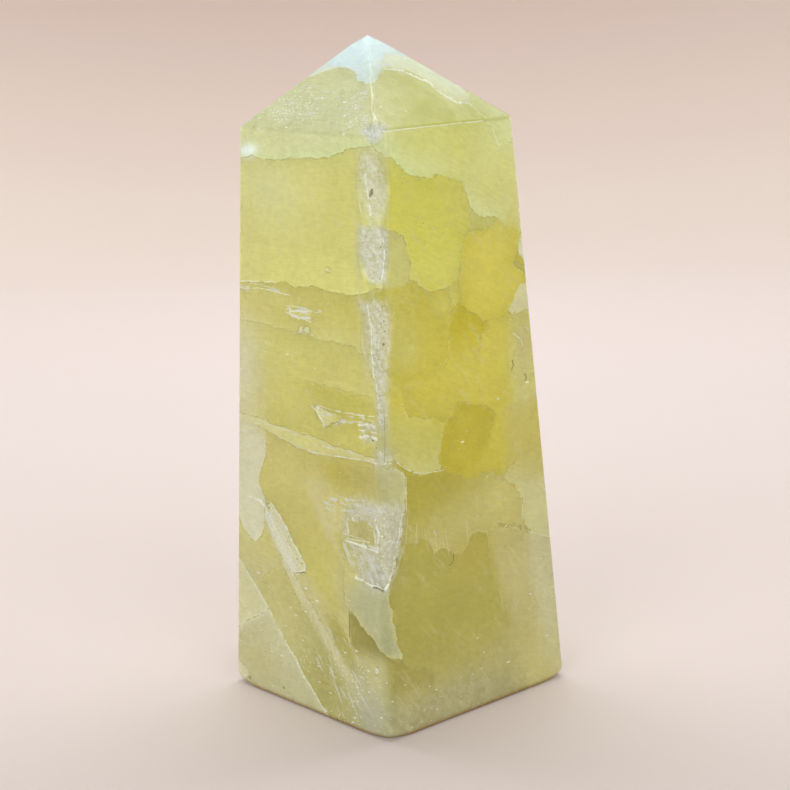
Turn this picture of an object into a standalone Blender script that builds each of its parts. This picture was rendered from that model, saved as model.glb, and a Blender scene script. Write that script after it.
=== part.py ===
"""Lemon calcite tower: one polished, four-sided piece of stone with a blunt pyramid point.

The stone stands on its flat base, +Z up, with the origin at the middle of the base.
Its four sides lean in by different amounts, because it was ground by hand. The corner at -X, -Y
is the worn one: its edge is cut back unevenly, and rough hollows lie along it.
"""

import math

import bmesh
import bpy
import numpy as np

MM = 0.001

# Driving dimensions, in millimetres
HEIGHT = 100.0  # to the sharp point, before its tip is rounded
BASE_WIDTH = 37.5  # along X
BASE_DEPTH = 36.0  # along Y
SHOULDER_WIDTH = 28.0
SHOULDER_DEPTH = 29.8
SHOULDER_SHIFT = np.array((-1.15, 0.95))  # the tower leans: middle of the shoulder from that of the base
POINT_SHIFT = np.array((-1.85, 1.50))
SHOULDER_LEVEL = 86.9
# Where each side's shoulder line starts and ends, counter-clockwise seen from above
SHOULDER_HEIGHTS = {
    "right": (87.35, 87.2),
    "far_right": (87.2, 87.0),
    "far_left": (87.0, 86.5),
    "left": (86.5, 86.4),
}

# How far each upright corner is cut back along the faces beside it: height, along Y, along X
FRONT_CUT = (
    (0.0, 1.0, 1.0),
    (22.0, 0.8, 0.8),
    (45.0, 0.8, 0.8),
    (52.0, 1.3, 1.6),
    (60.0, 2.4, 2.2),
    (65.0, 2.1, 2.0),
    (71.0, 3.1, 2.5),
    (80.0, 3.0, 2.8),
    (86.0, 1.8, 2.6),
)
LEFT_CUT = 0.45
RIGHT_CUT = 0.75
BACK_CUT = 0.60

# Rough hollows along the front edge: across from the edge, up, half width, half height, depth
HOLLOWS = (
    (0.4, 86.8, 1.9, 1.5, 0.50),
    (-0.4, 79.6, 3.1, 4.4, 0.40),
    (-0.4, 69.8, 3.2, 4.3, 0.45),
    (-0.6, 59.2, 3.0, 5.4, 0.50),
    (0.5, 51.4, 1.7, 3.6, 0.35),
    (-2.2, 45.4, 1.9, 1.5, 0.45),
    (-3.0, 28.6, 6.6, 6.4, 0.60),
    (-1.4, 22.6, 1.5, 0.8, 0.45),
)

# Reach of the rounding where two faces meet
EDGE_REACH = 0.35
RIDGE_REACH = 0.30
SHOULDER_REACH = 0.30
CUT_REACH = 0.35
POINT_REACH = 1.3
FOOT_REACH = 0.55
FOOT_CORNER_REACH = 3.4
FOOT_CORNER_SIZE = 5.5

# Spacing of the mesh
FRONT_OFFSETS = (0.0, 0.8, 1.6, 2.4, 3.2, 4.2, 6.0, 8.5)
CORNER_OFFSETS = (0.0, 0.35, 0.8, 1.6, 2.8, 4.4)
FACE_STEP = 5.0
FOOT_ROWS = (0.0, 0.2, 0.5, 0.9, 1.5, 2.3, 3.4, 4.8)
BODY_STEP = 1.7
SHOULDER_ROWS = (1.2, 0.5, 0.15)
CLIMB_ROWS = (0.012, 0.04, 0.1, 0.2, 0.32, 0.44, 0.56, 0.68, 0.8, 0.88, 0.94, 0.98)
BASE_INSETS = (0.985, 0.96, 0.92, 0.86, 0.76)
CORE_HEIGHTS = (8.0, 84.0)
SETTLE_STEPS = 24
FLAT_WITHIN = 0.01

STONE_COLOR = (0.62, 0.58, 0.17, 1.0)
STONE_ROUGHNESS = 0.28

CORNER_SIGNS = {"front": (-1, -1), "right": (1, -1), "back": (1, 1), "left": (-1, 1)}
# Sides in order round the stone, each from its first corner to its second
SIDES = {
    "right": ("front", "right"),
    "far_right": ("right", "back"),
    "far_left": ("back", "left"),
    "left": ("left", "front"),
}


def ring_corner(name, width, depth, shift, height):
    """A corner of a rectangle centred on shift, at a height."""
    sign_x, sign_y = CORNER_SIGNS[name]
    return np.array((shift[0] + sign_x * width / 2, shift[1] + sign_y * depth / 2, height))


BASE = {name: ring_corner(name, BASE_WIDTH, BASE_DEPTH, (0.0, 0.0), 0.0) for name in CORNER_SIGNS}
SHOULDER = {
    name: ring_corner(name, SHOULDER_WIDTH, SHOULDER_DEPTH, SHOULDER_SHIFT, SHOULDER_LEVEL)
    for name in CORNER_SIGNS
}
POINT = np.array((*POINT_SHIFT, HEIGHT))


def corner_line(name, z):
    """X and Y of the line along an upright corner, at each height z."""
    low, high = BASE[name][:2], SHOULDER[name][:2]
    return low + (high - low) * (z / SHOULDER_LEVEL)[:, None]


def plane(a, b, c):
    """Unit normal, away from the stone's axis, and offset of the plane through three points."""
    normal = np.cross(b - a, c - a)
    normal /= np.linalg.norm(normal)
    middle = np.array((0.0, 0.0, SHOULDER_LEVEL / 2))
    if normal @ (middle - a) > 0:
        normal = -normal
    return normal, normal @ a


def side_line(corners, side, share, heights=None):
    """Point along a side, from 0 at its first corner to 1, at its own heights if they are given."""
    first, second = SIDES[side]
    point = corners[first] + (corners[second] - corners[first]) * share
    if heights:
        point[2] = heights[side][0] + (heights[side][1] - heights[side][0]) * share
    return point


def side_plane(side):
    """The plane of one side, through its foot and the middle of its shoulder line."""
    first, second = SIDES[side]
    return plane(BASE[first], BASE[second], side_line(SHOULDER, side, 0.5, SHOULDER_HEIGHTS))


def tip_plane(side):
    """The plane of one facet of the point, through the side's shoulder line."""
    start = side_line(SHOULDER, side, 0.0, SHOULDER_HEIGHTS)
    end = side_line(SHOULDER, side, 1.0, SHOULDER_HEIGHTS)
    return plane(start, end, POINT)


SIDE_PLANES = {side: side_plane(side) for side in SIDES}
TIP_PLANES = {side: tip_plane(side) for side in SIDES}


def soft_max(a, b, reach):
    """The greater of two distances, with the crease between them rounded over a reach."""
    overlap = np.maximum(reach - np.abs(a - b), 0.0)
    return np.maximum(a, b) + overlap**2 / (4.0 * reach)


def corner_cut(points, name, cut_y, cut_x):
    """Distance outside the flat that cuts an upright corner back."""
    sign_x, sign_y = CORNER_SIGNS[name]
    line = corner_line(name, points[:, 2])
    inward_x = -sign_x * (points[:, 0] - line[:, 0])
    inward_y = -sign_y * (points[:, 1] - line[:, 1])
    slope = np.sqrt(1.0 / cut_x**2 + 1.0 / cut_y**2)
    return (1.0 - inward_x / cut_x - inward_y / cut_y) / slope


def across_front(points):
    """Distance round the stone from the front corner: negative on the left, positive on the right."""
    line = corner_line("front", points[:, 2])
    return (points[:, 0] - line[:, 0]) - (points[:, 1] - line[:, 1])


def hollow_depth(points):
    """How deep the rough hollows along the front edge are at each point."""
    across, up = across_front(points), points[:, 2]
    near_front = (points[:, 0] < 0) | (points[:, 1] < 0)
    depth = np.zeros(len(points))
    for centre, height, half_width, half_height, deepest in HOLLOWS:
        reach = ((across - centre) / half_width) ** 2 + ((up - height) / half_height) ** 2
        depth = np.maximum(depth, deepest * np.clip(1.0 - reach, 0.0, None) ** 0.5)
    return depth * near_front


def outside(points):
    """Distance outside the finished stone, negative inside it."""
    z = points[:, 2]
    side = {name: points @ normal - offset for name, (normal, offset) in SIDE_PLANES.items()}
    tip = {name: points @ normal - offset for name, (normal, offset) in TIP_PLANES.items()}
    across_x = np.maximum(side["left"], side["far_right"])
    across_y = np.maximum(side["right"], side["far_left"])
    body = soft_max(across_x, across_y, EDGE_REACH)
    heights, cuts_y, cuts_x = (np.array(column) for column in zip(*FRONT_CUT))
    front = corner_cut(points, "front", np.interp(z, heights, cuts_y), np.interp(z, heights, cuts_x))
    body = soft_max(body, front, CUT_REACH)
    for name, cut in (("left", LEFT_CUT), ("right", RIGHT_CUT), ("back", BACK_CUT)):
        body = soft_max(body, corner_cut(points, name, cut, cut), CUT_REACH)
    from_point = np.linalg.norm(points - POINT, axis=1)
    ridge_reach = RIDGE_REACH + POINT_REACH * np.clip(1.0 - from_point / 4.0, 0.0, None) ** 2
    tip_x = np.maximum(tip["left"], tip["far_right"])
    tip_y = np.maximum(tip["right"], tip["far_left"])
    body = soft_max(body, soft_max(tip_x, tip_y, ridge_reach), SHOULDER_REACH)
    feet = np.array([BASE[name] for name in CORNER_SIGNS])
    from_foot = np.min(np.linalg.norm(points[:, None] - feet[None], axis=2), axis=1)
    nearness = np.clip(1.0 - from_foot / FOOT_CORNER_SIZE, 0.0, 1.0)
    foot_reach = FOOT_REACH + (FOOT_CORNER_REACH - FOOT_REACH) * nearness**2
    return soft_max(body + hollow_depth(points), -z, foot_reach)


def settle(points):
    """Moves points of the sharp-edged shape straight towards the stone's core, onto its surface."""
    core_height = np.clip(points[:, 2], *CORE_HEIGHTS)
    core = SHOULDER_SHIFT * (core_height / SHOULDER_LEVEL)[:, None]
    inward = np.column_stack((core, core_height)) - points
    low = np.full(len(points), -0.1)
    high = np.full(len(points), 0.5)
    for _ in range(SETTLE_STEPS):
        middle = (low + high) / 2
        is_outside = outside(points + inward * middle[:, None]) > 0
        low = np.where(is_outside, middle, low)
        high = np.where(is_outside, high, middle)
    return points + inward * ((low + high) / 2)[:, None]


def side_shares(side):
    """Places of the mesh's columns along one side, from 0 at its first corner towards 1."""
    first, second = SIDES[side]
    length = (BASE_WIDTH if side in ("right", "far_left") else BASE_DEPTH) * 0.9
    near = FRONT_OFFSETS if first == "front" else CORNER_OFFSETS
    far = FRONT_OFFSETS if second == "front" else CORNER_OFFSETS
    start, end = near[-1], length - far[-1]
    count = max(1, round((end - start) / FACE_STEP))
    middle = [start + (end - start) * i / count for i in range(1, count)]
    offsets = list(near) + middle + [length - offset for offset in reversed(far[1:])]
    return [offset / length for offset in offsets]


def sharp_rings():
    """Rings of points on the sharp-edged shape, from the middle of the base up to below the point."""
    foot, shoulder = [], []
    for side in SIDES:
        for share in side_shares(side):
            foot.append(side_line(BASE, side, share))
            shoulder.append(side_line(SHOULDER, side, share, SHOULDER_HEIGHTS))
    foot, shoulder = np.array(foot), np.array(shoulder)
    rings = [foot * inset for inset in reversed(BASE_INSETS)]
    body_top = SHOULDER_LEVEL - SHOULDER_ROWS[0]
    count = math.ceil((body_top - FOOT_ROWS[-1]) / BODY_STEP)
    rows = list(FOOT_ROWS)
    rows += [FOOT_ROWS[-1] + (body_top - FOOT_ROWS[-1]) * i / count for i in range(1, count + 1)]
    rows += [SHOULDER_LEVEL - drop for drop in SHOULDER_ROWS[1:]] + [SHOULDER_LEVEL]
    rings += [foot + (shoulder - foot) * (z / SHOULDER_LEVEL) for z in rows]
    rings += [shoulder + (POINT - shoulder) * climb for climb in CLIMB_ROWS]
    return rings


def stone_material():
    material = bpy.data.materials.new("lemon_calcite")
    material.use_nodes = True
    shader = material.node_tree.nodes["Principled BSDF"]
    shader.inputs["Base Color"].default_value = STONE_COLOR
    shader.inputs["Roughness"].default_value = STONE_ROUGHNESS
    shader.inputs["Metallic"].default_value = 0.0
    return material


def make_tower():
    """The whole stone as one closed mesh, with a flat base."""
    rings = sharp_rings()
    columns = len(rings[0])
    points = settle(np.concatenate(rings + [POINT[None]]))
    points[np.abs(points[:, 2]) < FLAT_WITHIN, 2] = 0.0
    points[:columns, 2] = 0.0

    mesh = bmesh.new()
    verts = [mesh.verts.new(point * MM) for point in points]
    rows = [verts[i * columns : (i + 1) * columns] for i in range(len(rings))]
    for lower, upper in zip(rows, rows[1:]):
        for i in range(columns):
            j = (i + 1) % columns
            mesh.faces.new((lower[i], lower[j], upper[j], upper[i]))
    mesh.faces.new(list(reversed(rows[0])))
    for i in range(columns):
        mesh.faces.new((rows[-1][i], rows[-1][(i + 1) % columns], verts[-1]))
    bmesh.ops.triangulate(mesh, faces=mesh.faces[:])

    data = bpy.data.meshes.new("calcite_tower")
    mesh.to_mesh(data)
    mesh.free()
    data.shade_smooth()
    data.set_sharp_from_angle(angle=math.radians(25))
    data.materials.append(stone_material())
    tower = bpy.data.objects.new("calcite_tower", data)
    bpy.context.scene.collection.objects.link(tower)
    return tower


for old in list(bpy.data.objects):
    bpy.data.objects.remove(old, do_unlink=True)
make_tower()
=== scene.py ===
"""Looks of the lemon calcite tower: a dense, finely worn stone in place of the plain CAD solid."""

import math

import bpy
import numpy as np
from mathutils import Matrix, Vector, noise


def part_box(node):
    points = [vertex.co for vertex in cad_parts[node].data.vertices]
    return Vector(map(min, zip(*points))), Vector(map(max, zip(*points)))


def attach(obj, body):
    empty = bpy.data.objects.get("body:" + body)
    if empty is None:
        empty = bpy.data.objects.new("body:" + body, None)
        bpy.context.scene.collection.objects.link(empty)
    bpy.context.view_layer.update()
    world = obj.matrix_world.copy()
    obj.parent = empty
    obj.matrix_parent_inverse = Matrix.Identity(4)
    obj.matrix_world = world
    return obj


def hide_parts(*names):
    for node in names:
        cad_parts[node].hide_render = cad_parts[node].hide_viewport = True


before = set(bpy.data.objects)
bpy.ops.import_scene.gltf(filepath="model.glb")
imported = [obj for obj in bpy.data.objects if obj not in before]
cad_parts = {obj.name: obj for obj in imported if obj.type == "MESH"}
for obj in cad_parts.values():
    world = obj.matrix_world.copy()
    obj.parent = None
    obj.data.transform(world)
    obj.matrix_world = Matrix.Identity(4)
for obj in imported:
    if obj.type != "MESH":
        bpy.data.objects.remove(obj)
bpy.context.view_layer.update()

MM = 0.001

# Driving dimensions of the stone, in millimetres, as in the CAD source
HEIGHT = 100.0
BASE_WIDTH = 37.5
BASE_DEPTH = 36.0
SHOULDER_WIDTH = 28.0
SHOULDER_DEPTH = 29.8
SHOULDER_SHIFT = np.array((-1.15, 0.95))
POINT_SHIFT = np.array((-1.85, 1.50))
SHOULDER_LEVEL = 86.9
SHOULDER_HEIGHTS = {
    "right": (87.35, 87.2),
    "far_right": (87.2, 87.0),
    "far_left": (87.0, 86.5),
    "left": (86.5, 86.4),
}
FRONT_CUT = (
    (0.0, 1.0, 1.0),
    (22.0, 0.8, 0.8),
    (45.0, 0.8, 0.8),
    (52.0, 1.3, 1.6),
    (60.0, 2.4, 2.2),
    (65.0, 2.1, 2.0),
    (71.0, 3.1, 2.5),
    (80.0, 3.0, 2.8),
    (86.0, 1.8, 2.6),
)
LEFT_CUT = 0.45
RIGHT_CUT = 0.75
BACK_CUT = 0.60
HOLLOWS = (
    (0.4, 86.8, 1.9, 1.5, 0.50),
    (-0.4, 79.6, 3.1, 4.4, 0.40),
    (-0.4, 69.8, 3.2, 4.3, 0.45),
    (-0.6, 59.2, 3.0, 5.4, 0.50),
    (0.5, 51.4, 1.7, 3.6, 0.35),
    (-2.2, 45.4, 1.9, 1.5, 0.45),
    (-3.0, 28.6, 6.6, 6.4, 0.60),
    (-1.4, 22.6, 1.5, 0.8, 0.45),
)
EDGE_REACH = 0.35
RIDGE_REACH = 0.30
SHOULDER_REACH = 0.30
CUT_REACH = 0.35
# The point is rounded more than its ridges, by this much, within this distance of it
POINT_REACH = 1.3
POINT_ZONE = 4.0
FOOT_REACH = 0.55
FOOT_CORNER_REACH = 3.4
FOOT_CORNER_SIZE = 5.5
CORE_HEIGHTS = (8.0, 84.0)
# Shares of the way to the core within which the surface is looked for, and how often that is halved
SETTLE_RANGE = (-0.1, 0.5)
SETTLE_STEPS = 24
FLAT_WITHIN = 0.01

# Spacing of the dense mesh: beside an edge, how far from it and how close; elsewhere how close
FRONT_SPACING = (5.0, 0.26)
CORNER_SPACING = (1.2, 0.24)
FACE_SPACING = 0.5
FOOT_SPACING = (2.0, 0.2)
BODY_SPACING = 0.45
SHOULDER_SPACING = (1.2, 0.2)
# Rows up the point, as shares of the way up: two at the shoulder, then evenly on
FIRST_CLIMBS = (0.012, 0.026)
CLIMB_START = 0.04
CLIMB_SPAN = 0.95
CLIMB_ROWS = 40
BASE_ROWS = 12
# Width of the stone halfway up, as a share of its base
MIDDLE_WIDTH = 0.9

# The photo's camera, in degrees and millimetres: azimuth 0 looks along +Y
VIEW_AZIMUTH = -42.09
VIEW_ELEVATION = 12.91
VIEW_ROLL = -1.54
VIEW_DISTANCE = 290.99
VIEW_TARGET = (0.29, 45.62)
SENSOR = 36.0
LENS = 87.17
# How near and how far the camera sees, in metres
CLIP_START = 0.01
CLIP_END = 10.0

CORNER_SIGNS = {"front": (-1, -1), "right": (1, -1), "back": (1, 1), "left": (-1, 1)}
SIDES = {
    "right": ("front", "right"),
    "far_right": ("right", "back"),
    "far_left": ("back", "left"),
    "left": ("left", "front"),
}


def ring_corner(name, width, depth, shift, height):
    """A corner of a rectangle centred on shift, at a height."""
    sign_x, sign_y = CORNER_SIGNS[name]
    return np.array((shift[0] + sign_x * width / 2, shift[1] + sign_y * depth / 2, height))


BASE = {name: ring_corner(name, BASE_WIDTH, BASE_DEPTH, (0.0, 0.0), 0.0) for name in CORNER_SIGNS}
SHOULDER = {
    name: ring_corner(name, SHOULDER_WIDTH, SHOULDER_DEPTH, SHOULDER_SHIFT, SHOULDER_LEVEL)
    for name in CORNER_SIGNS
}
POINT = np.array((*POINT_SHIFT, HEIGHT))


def corner_line(name, z):
    """X and Y of the line along an upright corner, at each height z."""
    low, high = BASE[name][:2], SHOULDER[name][:2]
    return low + (high - low) * (z / SHOULDER_LEVEL)[:, None]


def plane(a, b, c):
    """Unit normal, away from the stone's axis, and offset of the plane through three points."""
    normal = np.cross(b - a, c - a)
    normal /= np.linalg.norm(normal)
    middle = np.array((0.0, 0.0, SHOULDER_LEVEL / 2))
    if normal @ (middle - a) > 0:
        normal = -normal
    return normal, normal @ a


def side_line(corners, side, share, heights=None):
    """Point along a side, from 0 at its first corner to 1, at its own heights if they are given."""
    first, second = SIDES[side]
    point = corners[first] + (corners[second] - corners[first]) * share
    if heights:
        point[2] = heights[side][0] + (heights[side][1] - heights[side][0]) * share
    return point


def side_plane(side):
    """The plane of one side, through its foot and the middle of its shoulder line."""
    first, second = SIDES[side]
    return plane(BASE[first], BASE[second], side_line(SHOULDER, side, 0.5, SHOULDER_HEIGHTS))


def tip_plane(side):
    """The plane of one facet of the point, through the side's shoulder line."""
    start = side_line(SHOULDER, side, 0.0, SHOULDER_HEIGHTS)
    end = side_line(SHOULDER, side, 1.0, SHOULDER_HEIGHTS)
    return plane(start, end, POINT)


SIDE_PLANES = {side: side_plane(side) for side in SIDES}
TIP_PLANES = {side: tip_plane(side) for side in SIDES}


def soft_max(a, b, reach):
    """The greater of two distances, with the crease between them rounded over a reach."""
    overlap = np.maximum(reach - np.abs(a - b), 0.0)
    return np.maximum(a, b) + overlap**2 / (4.0 * reach)


def corner_cut(points, name, cut_y, cut_x):
    """Distance outside the flat that cuts an upright corner back."""
    sign_x, sign_y = CORNER_SIGNS[name]
    line = corner_line(name, points[:, 2])
    inward_x = -sign_x * (points[:, 0] - line[:, 0])
    inward_y = -sign_y * (points[:, 1] - line[:, 1])
    slope = np.sqrt(1.0 / cut_x**2 + 1.0 / cut_y**2)
    return (1.0 - inward_x / cut_x - inward_y / cut_y) / slope


def across_front(points):
    """Distance round the stone from the front corner: negative on the left, positive on the right."""
    line = corner_line("front", points[:, 2])
    return (points[:, 0] - line[:, 0]) - (points[:, 1] - line[:, 1])


def hollow_depth(points):
    """How deep the rough hollows along the front edge are at each point."""
    across, up = across_front(points), points[:, 2]
    near_front = (points[:, 0] < 0) | (points[:, 1] < 0)
    depth = np.zeros(len(points))
    for centre, height, half_width, half_height, deepest in HOLLOWS:
        reach = ((across - centre) / half_width) ** 2 + ((up - height) / half_height) ** 2
        depth = np.maximum(depth, deepest * np.clip(1.0 - reach, 0.0, None) ** 0.5)
    return depth * near_front


def outside(points):
    """Distance outside the finished stone, negative inside it."""
    z = points[:, 2]
    side = {name: points @ normal - offset for name, (normal, offset) in SIDE_PLANES.items()}
    tip = {name: points @ normal - offset for name, (normal, offset) in TIP_PLANES.items()}
    across_x = np.maximum(side["left"], side["far_right"])
    across_y = np.maximum(side["right"], side["far_left"])
    body = soft_max(across_x, across_y, EDGE_REACH)
    heights, cuts_y, cuts_x = (np.array(column) for column in zip(*FRONT_CUT))
    front = corner_cut(points, "front", np.interp(z, heights, cuts_y), np.interp(z, heights, cuts_x))
    body = soft_max(body, front, CUT_REACH)
    for name, cut in (("left", LEFT_CUT), ("right", RIGHT_CUT), ("back", BACK_CUT)):
        body = soft_max(body, corner_cut(points, name, cut, cut), CUT_REACH)
    from_point = np.linalg.norm(points - POINT, axis=1)
    ridge_reach = RIDGE_REACH + POINT_REACH * np.clip(1.0 - from_point / POINT_ZONE, 0.0, None) ** 2
    tip_x = np.maximum(tip["left"], tip["far_right"])
    tip_y = np.maximum(tip["right"], tip["far_left"])
    body = soft_max(body, soft_max(tip_x, tip_y, ridge_reach), SHOULDER_REACH)
    feet = np.array([BASE[name] for name in CORNER_SIGNS])
    from_foot = np.min(np.linalg.norm(points[:, None] - feet[None], axis=2), axis=1)
    nearness = np.clip(1.0 - from_foot / FOOT_CORNER_SIZE, 0.0, 1.0)
    foot_reach = FOOT_REACH + (FOOT_CORNER_REACH - FOOT_REACH) * nearness**2
    return soft_max(body + hollow_depth(points), -z, foot_reach)


def towards_core(points):
    """From each point to the stone's core line."""
    core_height = np.clip(points[:, 2], *CORE_HEIGHTS)
    core = SHOULDER_SHIFT * (core_height / SHOULDER_LEVEL)[:, None]
    return np.column_stack((core, core_height)) - points


def settle(points):
    """Moves points of the sharp-edged shape straight towards the stone's core, onto its surface."""
    inward = towards_core(points)
    low, high = (np.full(len(points), end) for end in SETTLE_RANGE)
    for _ in range(SETTLE_STEPS):
        middle = (low + high) / 2
        is_outside = outside(points + inward * middle[:, None]) > 0
        low = np.where(is_outside, middle, low)
        high = np.where(is_outside, high, middle)
    return points + inward * ((low + high) / 2)[:, None]


def spaced(start, end, step):
    """Evenly spaced places from start up to, but without, end."""
    count = max(1, round((end - start) / step))
    return [start + (end - start) * i / count for i in range(count)]


def side_shares(side):
    """Places of the mesh's columns along one side, closer together beside its corners."""
    first, second = SIDES[side]
    length = (BASE_WIDTH if side in ("right", "far_left") else BASE_DEPTH) * MIDDLE_WIDTH
    near, near_step = FRONT_SPACING if first == "front" else CORNER_SPACING
    far, far_step = FRONT_SPACING if second == "front" else CORNER_SPACING
    places = spaced(0.0, near, near_step)
    places += spaced(near, length - far, FACE_SPACING)
    places += spaced(length - far, length, far_step)
    return [place / length for place in places]


def sharp_rings():
    """Rings of points on the sharp-edged shape, from the middle of the base up to below the point."""
    foot, shoulder = [], []
    for side in SIDES:
        for share in side_shares(side):
            foot.append(side_line(BASE, side, share))
            shoulder.append(side_line(SHOULDER, side, share, SHOULDER_HEIGHTS))
    foot, shoulder = np.array(foot), np.array(shoulder)
    rings = [foot * (i / BASE_ROWS) ** 0.5 for i in range(1, BASE_ROWS)]
    body_top = SHOULDER_LEVEL - SHOULDER_SPACING[0]
    rows = spaced(0.0, *FOOT_SPACING)
    rows += spaced(FOOT_SPACING[0], body_top, BODY_SPACING)
    rows += spaced(body_top, SHOULDER_LEVEL, SHOULDER_SPACING[1]) + [SHOULDER_LEVEL]
    rings += [foot + (shoulder - foot) * (z / SHOULDER_LEVEL) for z in rows]
    climbs = [*FIRST_CLIMBS] + [CLIMB_START + CLIMB_SPAN * i / CLIMB_ROWS for i in range(CLIMB_ROWS + 1)]
    rings += [shoulder + (POINT - shoulder) * climb for climb in climbs]
    return rings


# Colours as they show in the studio light, in sRGB
PALETTE = {
    "mint_white": (224, 243, 240),
    "cap_shade": (216, 233, 231),
    "cap_pale": (231, 238, 214),
    "tip_left": (206, 210, 162),
    "tip_right": (198, 198, 120),
    "tip_far": (213, 216, 166),
    "shoulder": (211, 212, 155),
    "shoulder_right": (204, 203, 118),
    "mint_edge": (210, 220, 162),
    "glint": (238, 247, 238),
    "spill": (208, 204, 124),
    "tan_pale": (207, 201, 130),
    "lemon": (211, 206, 126),
    "lemon_cool": (209, 207, 146),
    "bright_lemon": (215, 211, 127),
    "lemon_dusk": (205, 200, 112),
    "yellow": (204, 198, 96),
    "yellow_edge": (192, 186, 80),
    "green_yellow": (200, 196, 120),
    "ochre": (207, 195, 93),
    "ochre_edge": (197, 184, 79),
    "under_ochre": (198, 186, 85),
    "right_field": (199, 189, 104),
    "right_low": (193, 181, 100),
    "right_pale": (190, 183, 133),
    "deep": (194, 179, 68),
    "deepest": (184, 170, 65),
    "deepest_middle": (190, 176, 71),
    "mustard": (199, 190, 104),
    "band_pale": (208, 202, 128),
    "left_field": (201, 193, 110),
    "left_deep": (195, 186, 97),
    "orange": (199, 188, 112),
    "orange_deep": (183, 170, 86),
    "diagonal_pale": (203, 197, 150),
    "straw_white": (209, 204, 167),
    "flake_white": (215, 212, 178),
    "chip_cream": (208, 202, 152),
    "blade": (198, 192, 146),
    "green_pale": (194, 187, 102),
    "green_paler": (201, 195, 124),
    "dark_ochre": (177, 165, 76),
    "feather": (190, 180, 110),
    "ochre_haze": (197, 185, 112),
    "corner_green": (197, 191, 135),
    "olive": (175, 165, 86),
    "olive_warm": (179, 164, 83),
    "olive_brown": (165, 155, 86),
    "olive_haze": (188, 177, 112),
    "olive_grey": (176, 167, 100),
    "foot_grey": (162, 153, 106),
    "sage": (178, 176, 133),
    "front_pale": (187, 182, 126),
    "dark_olive": (153, 145, 80),
    "left_low": (197, 190, 133),
    "olive_band": (175, 168, 101),
    "olive_band_pale": (192, 184, 118),
    "mottled": (192, 186, 142),
    "frost": (176, 174, 148),
    "veil_grey": (186, 182, 134),
    "crust_light": (209, 209, 201),
    "crust_dull": (182, 179, 168),
    "white": (232, 234, 216),
    "line_brown": (156, 145, 78),
    "crust_shade": (176, 170, 121),
    "gap_olive": (171, 162, 91),
    "pit": (118, 110, 70),
    "foot_brown": (132, 90, 34),
}
# What the polished surface reflects, and how strongly the studio lights the stone
SURFACE_FILM = 0.026
STUDIO_LIGHT = np.array((1.01, 0.950, 0.897))
# What a base colour's parts stay between, and how dark the stone gets at most
COLOR_RANGE = (0.01, 0.97)
DARKEST = 0.02
# How much more light than the sides the tip gets, and what its two halves reflect more; the base colour
# there is darkened by these, as painted shade that offsets the studio's extra light and reflection
TIP_LIGHT = np.array((1.14, 1.16, 1.17))
TIP_FILM_LEFT = 0.03
TIP_FILM_RIGHT = np.array((0.055, 0.062, 0.085))
# Upward share of a normal where the tip starts, what it rises by until the tip is in full light, and
# how far below the shoulder the tip may start
TIP_SLOPE = (0.12, 0.4)
TIP_BELOW = 2.0
# How much more light reaches what faces the middle of the front, and between which turns that starts;
# the base colour there is darkened to match, as painted shade
FRONT_LIGHT = 1.21
FRONT_FILM = 0.018
FRONT_FACING = (0.71, 0.98)
# How softly the near and far side, and the tip's two halves, run into each other
FACING_BLEND = 0.4
HALVES_BLEND = 1.0


def seen(name):
    """The base colour that shows as a palette colour in the studio light."""
    shown = np.array(PALETTE[name]) / 255.0
    # The standard curve from sRGB to linear light
    linear = np.where(shown <= 0.04045, shown / 12.92, ((shown + 0.055) / 1.055) ** 2.4)
    return np.clip((linear - SURFACE_FILM) / STUDIO_LIGHT, *COLOR_RANGE)


class Patch:
    """A patch of one growth of the stone, by its outline in millimetres on an unrolled chart.

    Its colour goes from the edge tone to the tone over a reach, and along a fade to a third tone, or
    to what lies under it. A rim above 0 pales the sheets under it all round it; below 0 it darkens
    them as a painted shadow of the patch's edge.
    """

    def __init__(
        self, tone, outline, chart="front", edge=None, reach=2.0, fade=None, rim=0.0, rim_reach=1.2
    ):
        self.tone = seen(tone)
        self.outline = outline
        self.chart = chart
        self.edge = seen(edge or tone)
        self.reach = reach
        self.fade = fade
        self.rim = rim
        self.rim_reach = rim_reach


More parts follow.
